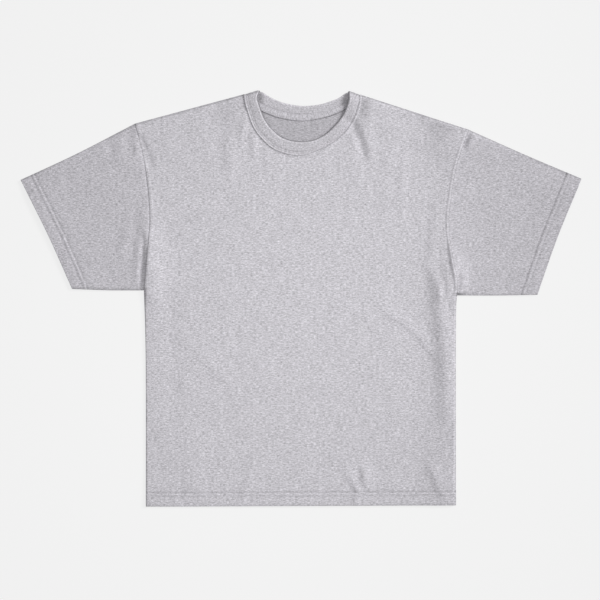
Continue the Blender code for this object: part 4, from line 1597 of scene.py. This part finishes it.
    def mesh(self) -> BMesh:
        """Model the ring.

        Returns:
            Its shape, in metres.
        """
        upper = [(point, 1.0) for point in self.profile]
        lower = [(point, -1.0) for point in self.profile[::-1]]
        lines = [self.surface(point, sign) for point, sign in upper + lower]
        grid = np.array(lines + lines[:1])
        around = self.wales()
        courses = np.tile(around / around[-1] * self.length, (len(grid), 1))
        steps = np.linalg.norm(np.diff(grid, axis=0), axis=2).mean(axis=1)
        wales = np.tile(np.concatenate(([0.0], np.cumsum(steps)))[:, None], (1, len(around)))
        painted_shades = np.array([self.painted_shade(point) for point, _ in upper + lower])
        return self.ring_mesh(grid, np.stack((courses, wales), axis=-1), painted_shades)

    def ring_mesh(self, grid: Solid, grain: Plan, painted_shades: Field) -> BMesh:
        """A closed ring from its lines.

        Args:
            grid: One row for each line round the ring, the first line again at the end.
            grain: Where each point lies on the flat knitted strip, in millimetres.
            painted_shades: Painted shade at each point, a row for each line; below 0 a painted
                highlight.

        Returns:
            The mesh, in metres, with its grain as a UV map.
        """
        rows, columns = grid.shape[0] - 1, grid.shape[1] - 1
        mesh = bmesh.new()
        bmesh.ops.create_grid(mesh, x_segments=columns, y_segments=rows, size=GRID_HALF)
        uv = mesh.loops.layers.uv.new(GRAIN)
        painted_shading = mesh.verts.layers.float.new(PAINTED_SHADING)
        for vertex in mesh.verts:
            column = round((vertex.co.x + GRID_HALF) * columns)
            row = round((vertex.co.y + GRID_HALF) * rows)
            vertex[painted_shading] = painted_shades[row % rows, column]
            for loop in vertex.link_loops:
                loop[uv].uv = grain[row, column] * MM
            vertex.co = grid[row, column] * MM
        bmesh.ops.remove_doubles(mesh, verts=list(mesh.verts), dist=MM / 1000)
        bmesh.ops.recalc_face_normals(mesh, faces=list(mesh.faces))
        return mesh


class TapeEdge(NamedTuple):
    """A line along the tape: distance past the seam towards the rib, two heights, its painted
    shade.
    """

    past_seam: float
    underside: float
    top: float
    painted_shading: float = 0.0


@dataclass
class NeckTape(CutPiece):
    """The strip that covers the back neck seam inside the shirt."""

    name: str = "neck_tape_cloth"
    node: str = "neck_tape"
    flat: tuple[float, float] = (0.212, 0.0112)
    flat_area: float | None = None
    end: float = 14.0
    count: int = 150
    stitch_rows: tuple[float, float] = (-3.2, 4.4)
    stitch_heights: tuple[float, float] = (2.98, 3.22)
    wander: float = 0.12        # how unevenly it is sewn on
    right_shade: float = 2.4    # painted shadow along its lower edge on the right
    right_start: float = 5.0
    right_blend: float = 50.0
    shade_reach: float = 1.0
    # The last value of an edge is painted shade: a painted shadow along both edges, painted shade
    # on the stitched rows.
    section: tuple[TapeEdge, ...] = (
        TapeEdge(-5.2, 1.5, 2.3, 1.0),
        TapeEdge(-5.05, 1.5, 2.85),
        TapeEdge(-4.6, 1.5, 3.1),
        TapeEdge(-3.9, 1.5, 3.1),
        TapeEdge(-3.2, 1.5, 2.9, 0.3),
        TapeEdge(-2.4, 1.5, 3.12),
        TapeEdge(-0.8, 1.9, 3.25),
        TapeEdge(0.0, 2.3, 3.35),
        TapeEdge(2.2, 2.3, 3.4),
        TapeEdge(3.7, 2.3, 3.35),
        TapeEdge(4.4, 2.3, 3.15, 0.3),
        TapeEdge(5.0, 2.3, 3.3),
        TapeEdge(5.6, 2.3, 3.2),
        TapeEdge(5.8, 2.3, 2.8, 1.0),
    )

    SLOT = "tape_jersey"

    def line(self, past_seam: float, height: float) -> Solid:
        """Points along the tape at a distance past the seam and at a height.

        Args:
            past_seam: Distance past the seam, towards the rib.
            height: Height over the surface that the shirt rests on.

        Returns:
            Solid points, from the left to the right.
        """
        seam_line = NECKLINE.line(Layer.BACK)
        along = np.linspace(self.end, seam_line.length - self.end, self.count + 1)
        values = seam_line.at(along)
        wander = self.wander * PUCKER.at(along)[:, None]
        plan = values[:, :2] + unit(values[:, 2:] - values[:, :2]) * (past_seam + wander)
        return np.concatenate((plan, np.full((len(plan), 1), height)), axis=1)

    def mesh(self) -> BMesh:
        """Model the tape.

        Returns:
            Its shape, in metres.
        """
        outer = np.array([self.line(edge.past_seam, edge.top) for edge in self.section])
        inner = np.array([self.line(edge.past_seam, edge.underside) for edge in self.section])
        steps = np.linalg.norm(np.diff(outer, axis=1), axis=2).mean(axis=0)
        along = np.tile(np.concatenate(([0.0], np.cumsum(steps))), (len(outer), 1))
        across = np.array([[edge.past_seam] * outer.shape[1] for edge in self.section])
        # Painted shade in the neck's corners, and a painted shadow along the lower edge on the
        # right.
        corner_shade = sum(corner.height(outer[:, :, :2]) for corner in PAINTED_NECK_CORNER_SHADES)
        right = soft_step((outer[:, :, 0] - self.right_start) / self.right_blend)
        lower = np.exp(-(across - across[0]) / self.shade_reach)
        painted_shades = np.array([edge.painted_shading for edge in self.section])[:, None] + corner_shade
        painted_shades = painted_shades + self.right_shade * right * lower
        return ClothWall(outer, inner, np.stack((across, along), axis=-1), painted_shades).mesh


@dataclass(frozen=True)
class Thread:
    """Sewing thread laid as a row of short loops whose ends dip into the cloth."""

    pitch: float = 3.1
    loop_length: float = 2.5
    thickness: float = 0.42
    sink: float = 0.38          # how deep a loop's ends dip
    crown: float = 0.04         # how high its middle lies
    shoulder: tuple[float, float] = (0.7, 0.05)     # how far out it starts to dip, and how low
    grip: float = 0.8           # half the stretch of the line that a loop follows
    sides: int = 6

    def loop(self) -> Mesh:
        """One loop of thread along X, with its top above z = 0.

        Returns:
            The mesh of one loop, in metres.
        """
        half, radius = self.loop_length / 2, self.thickness / 2
        out, low = self.shoulder
        path = ((-half, -self.sink), (-out * half, -low), (0.0, self.crown), (out * half, -low),
                (half, -self.sink))
        mesh = bmesh.new()
        turned = Matrix.Translation((path[0][0], 0.0, path[0][1])) @ Matrix.Rotation(
            math.radians(-90.0), 4, "Y")
        bmesh.ops.create_circle(mesh, cap_ends=True, segments=self.sides, radius=radius,
                                matrix=turned)
        end = mesh.faces[:]
        for (x, z), (next_x, next_z) in zip(path, path[1:]):
            made = bmesh.ops.extrude_face_region(mesh, geom=end)
            moved = [item for item in made["geom"] if isinstance(item, BMVert)]
            end = [item for item in made["geom"] if isinstance(item, BMFace)]
            bmesh.ops.translate(mesh, verts=moved, vec=(next_x - x, 0.0, next_z - z))
        bmesh.ops.recalc_face_normals(mesh, faces=list(mesh.faces))
        bmesh.ops.scale(mesh, verts=list(mesh.verts), vec=(MM, MM, MM))
        data = bpy.data.meshes.new("thread_loop")
        mesh.to_mesh(data)
        mesh.free()
        return data

    def sew(self, name: str, lines: Sequence[Solid], finish: Material, slot: str) -> Object:
        """Lay loops along lines on the cloth and join them to one piece.

        Args:
            name: Name of the piece.
            lines: Solid points of each row, in millimetres.
            finish: The thread's material.
            slot: Not used.

        Returns:
            The finished piece.
        """
        loop = self.loop()
        joined = bmesh.new()
        for line in lines:
            for place in self.places(line):
                placed = loop.copy()
                placed.transform(place)
                joined.from_mesh(placed)
                bpy.data.meshes.remove(placed)
        bpy.data.meshes.remove(loop)
        return make_piece(name, joined, [finish])

    def places(self, line: Solid) -> list[Matrix]:
        """Where each loop along a line goes, as a matrix in metres.

        Args:
            line: Solid points of the row, in millimetres.

        Returns:
            A matrix for each loop.
        """
        distances = steps_along(line)
        count = int(distances[-1] / self.pitch)
        centres = (np.arange(count) + 0.5) * distances[-1] / count
        places, up = [], Vector((0.0, 0.0, 1.0))
        for centre in centres:
            ends = [Vector([np.interp(at, distances, axis) for axis in line.T])
                    for at in (centre - self.grip, centre + self.grip)]
            along = (ends[1] - ends[0]).normalized()
            across = up.cross(along).normalized()
            turn = Matrix((along, across, along.cross(across))).transposed().to_4x4()
            places.append(Matrix.Translation((ends[0] + ends[1]) / 2 * MM) @ turn)
        return places


class NodeBench:
    """Adds and wires the nodes of one material."""

    def __init__(self, name: str) -> None:
        """Start a material with an empty Principled shader.

        Args:
            name: Name of the material.
        """
        self.material = bpy.data.materials.new(name)
        self.material.use_nodes = True
        self.tree = self.material.node_tree
        self.shader = self.tree.nodes["Principled BSDF"]

    def node(self, kind: str, inputs: dict | None = None, **settings) -> Node:
        """Add a node.

        Args:
            kind: Blender's name of the node type.
            inputs: A value or a socket for each input that isn't left alone.
            **settings: Values of the node's own properties.

        Returns:
            The node.
        """
        node = self.tree.nodes.new(kind)
        for name, value in settings.items():
            setattr(node, name, value)
        for name, value in (inputs or {}).items():
            self.feed(node.inputs[name], value)
        return node

    def feed(self, socket: NodeSocket, value: object) -> None:
        """Give a socket a value or wire another socket to it.

        Args:
            socket: The input.
            value: A value or an output socket.
        """
        if isinstance(value, NodeSocket):
            self.tree.links.new(value, socket)
        else:
            socket.default_value = value

    def maths(self, operation: str, *values: object) -> NodeSocket:
        """The result of a Math node on values or sockets."""
        inputs = dict(enumerate(values))
        return self.node("ShaderNodeMath", inputs, operation=operation).outputs[0]

    def noise(self, vector: NodeSocket, size: Sequence[float], detail: float,
              seed: float) -> NodeSocket:
        """A noise between 0 and 1 whose marks have a size along and across, in millimetres.

        Args:
            vector: The place that the noise is read at.
            size: Size of a mark along and across, in millimetres.
            detail: How many finer layers it has.
            seed: Where in the noise it is read.

        Returns:
            The noise's output.
        """
        scale = (1.0 / (size[0] * MM), 1.0 / (size[1] * MM), 1.0)
        mapping = self.node("ShaderNodeMapping", {"Vector": vector, "Scale": scale,
                                                  "Location": (seed, -seed, 0.0)})
        texture = self.node("ShaderNodeTexNoise", {
            "Vector": mapping.outputs[0], "Scale": 1.0, "Detail": detail, "Roughness": 0.55},
            noise_dimensions="2D")
        return texture.outputs[0]

    def grain(self) -> NodeSocket:
        """The place on the flat cloth, in metres."""
        return self.node("ShaderNodeUVMap", uv_map=GRAIN).outputs[0]

    def shaded(self, shade: Sequence[float], tone: NodeSocket) -> NodeSocket:
        """A shade made lighter or darker by a tone around 1."""
        return self.node("ShaderNodeVectorMath", {0: shade, "Scale": tone},
                         operation="SCALE").outputs[0]

    def bump(self, height: NodeSocket) -> NodeSocket:
        """The surface's direction under a relief in millimetres."""
        inputs = {"Strength": 1.0, "Distance": MM, "Height": height}
        return self.node("ShaderNodeBump", inputs).outputs[0]

    def set_shader(self, **values: object) -> None:
        """Set the shader's own sockets, named with _ for a space."""
        for name, value in values.items():
            self.feed(self.shader.inputs[name.replace("_", " ")], value)


@dataclass(frozen=True)
class HeatherFinish:
    """Marled grey knit: light and dark fibres in streaks along the courses.

    Flecks, streaks, drifts and clouds are the same kind of mark in four sizes, each given in
    millimetres along the courses and across them.
    """

    name: str
    shade: tuple[float, float, float]
    fleck_size: tuple[float, float] = (2.6, 1.1)
    fleck_contrast: float = 0.8
    streak_size: tuple[float, float] = (5.4, 1.6)
    streak_contrast: float = 1.15
    drift_size: tuple[float, float] = (15.0, 3.2)
    drift_contrast: float = 0.34
    cloud_size: tuple[float, float] = (34.0, 26.0)
    cloud_contrast: float = 0.12
    wale: float = 0.95          # width of a column of loops
    course: float = 0.72        # height of a row of loops
    knit_depth: float = 0.05
    fuzz_size: tuple[float, float] = (1.9, 0.8)
    fuzz_depth: float = 0.05
    seam_shade: float = 0.35    # how much darker the painted shade makes the cloth at its strongest
    seed: float = 0.0

    def knit(self, bench: NodeBench, grain: NodeSocket) -> NodeSocket:
        """The height of the knitted loops, from 0 to 1: upright columns of small V shapes.

        Args:
            bench: The material in the making.
            grain: The place on the flat cloth.

        Returns:
            The height.
        """
        split = bench.node("ShaderNodeSeparateXYZ", {0: grain})
        column = bench.maths("FRACT", bench.maths("DIVIDE", split.outputs[0], self.wale * MM))
        leg = bench.maths("ABSOLUTE", bench.maths("SUBTRACT", column, 0.5))
        row = bench.maths("DIVIDE", split.outputs[1], self.course * MM)
        slanted = bench.maths("FRACT", bench.maths("SUBTRACT", row, leg))
        loop = bench.maths("SINE", bench.maths("MULTIPLY", slanted, math.pi))
        sides = bench.maths("SUBTRACT", 1.0, bench.maths("POWER", bench.maths(
            "MULTIPLY", leg, 2.0), 4.0))
        return bench.maths("MULTIPLY", loop, sides)

    def tone(self, bench: NodeBench, grain: NodeSocket) -> NodeSocket:
        """How light the yarn is at each place, around 1, with the painted shade and highlight laid
        on.

        Args:
            bench: The material in the making.
            grain: The place on the flat cloth.

        Returns:
            The tone.
        """
        layers = ((self.streak_size, 2.0, self.streak_contrast, 3.0),
                  (self.fleck_size, 1.0, self.fleck_contrast, 17.0),
                  (self.cloud_size, 2.0, self.cloud_contrast, 29.0),
                  (self.drift_size, 1.0, self.drift_contrast, 53.0))
        tone = 1.0
        for size, detail, contrast, seed in layers:
            marks = bench.noise(grain, size, detail, seed + self.seed)
            swing = bench.maths("MULTIPLY", bench.maths("SUBTRACT", marks, 0.5), contrast)
            tone = bench.maths("ADD", tone, swing)
        # Painted shade read from the mesh: darker above 0, a painted highlight below 0.
        painted_shade = bench.node("ShaderNodeAttribute", attribute_name=PAINTED_SHADING).outputs["Fac"]
        return bench.maths("MULTIPLY", tone, bench.maths(
            "SUBTRACT", 1.0, bench.maths("MULTIPLY", painted_shade, self.seam_shade)))

    def material(self) -> Material:
        """The finished material.

        Returns:
            The material, ready for a piece.
        """
        bench = NodeBench(self.name)
        grain = bench.grain()
        colour = bench.shaded(self.shade, self.tone(bench, grain))
        knit = bench.maths("MULTIPLY", self.knit(bench, grain), self.knit_depth)
        fuzz = bench.noise(grain, self.fuzz_size, 2.0, 41.0 + self.seed)
        height = bench.maths("ADD", knit, bench.maths("MULTIPLY", fuzz, self.fuzz_depth))
        bench.set_shader(Base_Color=colour, Normal=bench.bump(height), Roughness=0.92,
                         Specular_IOR_Level=0.25, Sheen_Weight=0.12, Sheen_Roughness=0.5)
        return bench.material


@dataclass(frozen=True)
class ThreadFinish:
    """Matt sewing thread with a fine twist."""

    name: str
    shade: tuple[float, float, float]
    twists: float = 900.0       # to the metre, in the wave's own measure
    twist_depth: float = 0.03
    contrast: float = 0.16

    def material(self) -> Material:
        """The finished material.

        Returns:
            The material, ready for a piece.
        """
        bench = NodeBench(self.name)
        place = bench.node("ShaderNodeTexCoord").outputs["Object"]
        twist = bench.node("ShaderNodeTexWave", {
            "Vector": place, "Scale": self.twists, "Distortion": 1.5}, bands_direction="DIAGONAL")
        height = bench.maths("MULTIPLY", twist.outputs["Fac"], self.twist_depth)
        tone = bench.maths("MULTIPLY_ADD", twist.outputs["Fac"], self.contrast,
                           1.0 - self.contrast / 2)
        bench.set_shader(Base_Color=bench.shaded(self.shade, tone), Normal=bench.bump(height),
                         Roughness=0.7, Sheen_Weight=0.1)
        return bench.material


@dataclass(frozen=True)
class FloorFinish:
    """A plain pale floor that glows a little, like a light table."""

    shade: tuple[float, float, float, float] = (0.12, 0.12, 0.12, 1.0)
    glow: float = 0.775

    def material(self) -> Material:
        """The finished material.

        Returns:
            The material, ready for the floor.
        """
        bench = NodeBench("pale_floor")
        bench.set_shader(Base_Color=self.shade, Roughness=0.9, Specular_IOR_Level=0.1,
                         Emission_Color=(1.0, 1.0, 1.0, 1.0), Emission_Strength=self.glow)
        return bench.material


@dataclass(frozen=True)
class SoftLight:
    """A rectangular area light that looks at the shirt."""

    name: str
    place: tuple[float, float, float]
    size: tuple[float, float]
    power: float

    def hang(self) -> None:
        """Add the light to the scene."""
        lamp = bpy.data.lights.new(self.name, "AREA")
        lamp.shape, lamp.energy = "RECTANGLE", self.power
        lamp.size, lamp.size_y = self.size
        light = bpy.data.objects.new(self.name, lamp)
        light.location = self.place
        light.rotation_euler = Vector(self.place).to_track_quat("Z", "Y").to_euler()
        light.visible_camera = False
        bpy.context.scene.collection.objects.link(light)


@dataclass(frozen=True)
class Studio:
    """The floor, the lights and the camera straight above the shirt, in metres."""

    field_width: float = 1.08
    lens: float = 85.0
    sensor: float = 36.0
    aim: tuple[float, float, float] = (-0.0018, -0.0032, 0.004)
    floor_size: float = 24.0
    floor_drop: float = 0.0004
    air: float = 0.32
    lights: tuple[SoftLight, ...] = (
        SoftLight("key_from_the_right", (15.8, 7.4, 10.0), (4.8, 4.8), 3280.0),
        SoftLight("soft_top", (0.01, 0.02, 0.85), (0.4, 0.9), 3.0),
    )

    def build(self) -> None:
        """Set up everything that isn't the shirt."""
        self.lay_floor()
        for light in self.lights:
            light.hang()
        self.fill_air()
        self.set_camera()
        bpy.context.scene.view_settings.view_transform = "Standard"
        logging.info("studio: %d lights", len(self.lights))

    def lay_floor(self) -> None:
        """Lay a plain pale floor just under the shirt."""
        mesh = bmesh.new()
        bmesh.ops.create_grid(mesh, x_segments=1, y_segments=1, size=self.floor_size / 2)
        bmesh.ops.translate(mesh, verts=list(mesh.verts), vec=(0.0, 0.0, -self.floor_drop))
        data = bpy.data.meshes.new("floor")
        mesh.to_mesh(data)
        mesh.free()
        data.materials.append(FloorFinish().material())
        floor = bpy.data.objects.new("floor", data)
        bpy.context.scene.collection.objects.link(floor)

    def fill_air(self) -> None:
        """Fill the room with even pale light."""
        world = bpy.data.worlds.new("studio_air")
        world.use_nodes = True
        background = world.node_tree.nodes["Background"]
        background.inputs["Color"].default_value = (1.0, 1.0, 1.0, 1.0)
        background.inputs["Strength"].default_value = self.air
        bpy.context.scene.world = world

    def set_camera(self) -> None:
        """Hang the camera straight above the shirt, with its top towards the neck."""
        lens = bpy.data.cameras.new("camera")
        lens.lens, lens.sensor_width = self.lens, self.sensor
        camera = bpy.data.objects.new("camera", lens)
        height = self.field_width * self.lens / self.sensor
        camera.location = Vector(self.aim) + Vector((0.0, 0.0, height))
        bpy.context.scene.collection.objects.link(camera)
        bpy.context.scene.camera = camera


@dataclass
class Shirt:
    """The whole shirt: its cut pieces and the sewing that shows."""

    front: BodyPanel = field(default_factory=lambda: BodyPanel(
        "front_panel_cloth", "front_panel", (0.604, 0.743), 0.386, Layer.FRONT, side_count=98,
        arm_count=54, strap_count=25, half_count=54, neck_count=46, strap_length=90.0,
        neck_side_length=78.0))
    back: BodyPanel = field(default_factory=lambda: BodyPanel(
        "back_panel_cloth", "back_panel", (0.604, 0.743), 0.399, Layer.BACK, side_count=72,
        arm_count=52, strap_count=9, half_count=40, neck_count=44, strap_length=38.6,
        neck_side_length=34.0))
    left: Sleeve = field(default_factory=lambda: Sleeve(
        "sleeve_left_cloth", "sleeve_left", (0.6, 0.232), 0.0953, Side.LEFT, top_bow=2.4,
        cuff_bow=2.4, underarm_bow=-1.0))
    right: Sleeve = field(default_factory=lambda: Sleeve(
        "sleeve_right_cloth", "sleeve_right", (0.6, 0.222), 0.1016, Side.RIGHT, top_bow=1.0,
        cuff_bow=2.8, underarm_bow=-0.6))
    rib: NeckRib = field(default_factory=NeckRib)
    tape: NeckTape = field(default_factory=NeckTape)
    thread: Thread = field(default_factory=Thread)
    rib_thread_height: float = 0.66     # of the thread over the middle of the rib's wall
    row_inset: float = 2.0              # how far from a rolled edge a stitched row ends
    armhole_inset: float = 4.0
    chest: tuple[float, float] = (0.0, 150.0)

    def build(self) -> None:
        self.dress()
        sewing = self.sew()

    def dress(self) -> None:
        """Build the six cut pieces with their finishes."""
        body = HeatherFinish("body_jersey", (0.557, 0.543, 0.578))
        # The wrong side is darker partly as the purl side of the knit and partly as painted shade,
        # where it shows inside the neck.
        inside = HeatherFinish("body_jersey_wrong_side_and_painted_shade", (0.44, 0.428, 0.457), seed=5.0,
                               knit_depth=0.03)
        # The sleeves' jersey is a darker copy of the body's: painted shade for the dimmer light on
        # the sleeves.
        sleeve = HeatherFinish("sleeve_jersey_painted_shade", (0.516, 0.502, 0.536), seed=9.0)
        rib = HeatherFinish("rib_knit", (0.526, 0.512, 0.545), streak_size=(3.4, 1.4),
                            streak_contrast=1.1, seed=13.0)
        tape = HeatherFinish("tape_jersey", (0.535, 0.521, 0.556), seed=21.0)
        right_side, wrong_side_and_shade = body.material(), inside.material()
        self.back.build([right_side, wrong_side_and_shade])
        self.front.build([right_side, wrong_side_and_shade])
        painted_shade_sleeve_side = sleeve.material()
        for piece in (self.left, self.right):
            piece.build([painted_shade_sleeve_side, wrong_side_and_shade])
        self.rib.build([rib.material()])
        self.tape.build([tape.material()] * 2)

    def sew(self) -> dict[str, list[Object]]:
        """Lay the thread of every stitched row.

        Returns:
            The thread pieces that lie on each cloth piece, by the cloth's name.
        """
        finish = ThreadFinish("grey_thread", (0.53, 0.515, 0.55)).material()
        sewing: dict[str, list[Object]] = {}
        for name, cloth, lines, slot in self.rows():
            piece = self.thread.sew(name, lines, finish, slot)
            sewing.setdefault(cloth, []).append(piece)
        return sewing

    def rows(self) -> list[tuple[str, str, list[Solid], str]]:
        """The stitched rows, which all face up.

        Returns:
            For each: the thread's name, its cloth's name, its lines and its material slot.
        """
        rows = [("hem_stitches", self.front.name, self.hem_lines(), self.front.SLOT)]
        for side, sleeve in ((Side.LEFT, self.left), (Side.RIGHT, self.right)):
            word = side.name.lower()
            rows += [(f"armhole_stitches_{word}", self.front.name, [self.armhole_line(side)],
                      self.front.SLOT),
                     (f"cuff_stitches_{word}", sleeve.name, self.cuff_lines(sleeve), sleeve.SLOT)]
        rib_lines = [self.rib.stitch_line(layer, self.rib.stitch_row, self.rib_thread_height)
                     for layer in Layer]
        rows.append(("neck_stitches", self.rib.name, rib_lines, self.rib.SLOT))
        tape_lines = [self.tape.line(row, top) for row, top in zip(self.tape.stitch_rows,
                                                                  self.tape.stitch_heights)]
        rows.append(("tape_stitches", self.tape.name, tape_lines, self.tape.SLOT))
        return rows

    def hem_lines(self) -> list[Solid]:
        """The two rows along the front hem.

        Returns:
            The solid points of each row.
        """
        left, right = OUTLINE.hem_edge()
        inset = GAUGE.edge_radius + self.row_inset
        along = points_between(left, right, np.arange(inset, np.linalg.norm(right - left) - inset))
        sewing = Sewing.of_panel()
        return [self.on_cloth(along + (0.0, row), sewing) for row in HEM.rows]

    def cuff_lines(self, sleeve: Sleeve) -> list[Solid]:
        """The two rows along a cuff.

        Args:
            sleeve: The sleeve.

        Returns:
            The solid points of each row.
        """
        inset = GAUGE.fold_radius + self.row_inset
        along = sleeve.cuff.plan(np.arange(inset, sleeve.cuff.length - inset))
        inwards = self.across(along, sleeve.middle)
        sewing = Sewing.of_sleeve(sleeve.side, sleeve.cuff.chain())
        return [self.on_cloth(along + inwards * row, sewing) for row in sewing.hem.rows]

    def armhole_line(self, side: Side) -> Solid:
        """The row on the pressed band beside an armhole.

        Args:
            side: The half of the shirt.

        Returns:
            Solid points along the row.
        """
        seam = OUTLINE.armhole_seam(side)
        along = seam.plan(np.arange(self.armhole_inset, seam.length - self.armhole_inset))
        inwards = self.across(along, np.array(self.chest))
        return self.on_cloth(along + inwards * ARMHOLE_BODY[side].stitch_row, Sewing.of_panel())

    @staticmethod
    def across(line: Plan, towards: Plan) -> Plan:
        """Unit directions square to a line that point towards a place.

        Args:
            line: Points along the line.
            towards: The place.

        Returns:
            A direction for each point.
        """
        out = quarter_turn(unit(np.gradient(line, axis=0)))
        away = ((towards - line) * out).sum(axis=1) < 0
        out[away] *= -1.0
        return out

    @staticmethod
    def on_cloth(plan: Plan, sewing: Sewing) -> Solid:
        """Solid points that lie on a piece of the upper layer with this sewing."""
        return np.concatenate((plan, UPPER.height(plan, sewing)[:, None]), axis=1)


def main() -> None:
    """Dress the shirt and set up the studio."""
    logging.basicConfig(level=logging.INFO, format="%(message)s")
    Shirt().build()
    Studio().build()


if __name__ == "__main__":
    main()
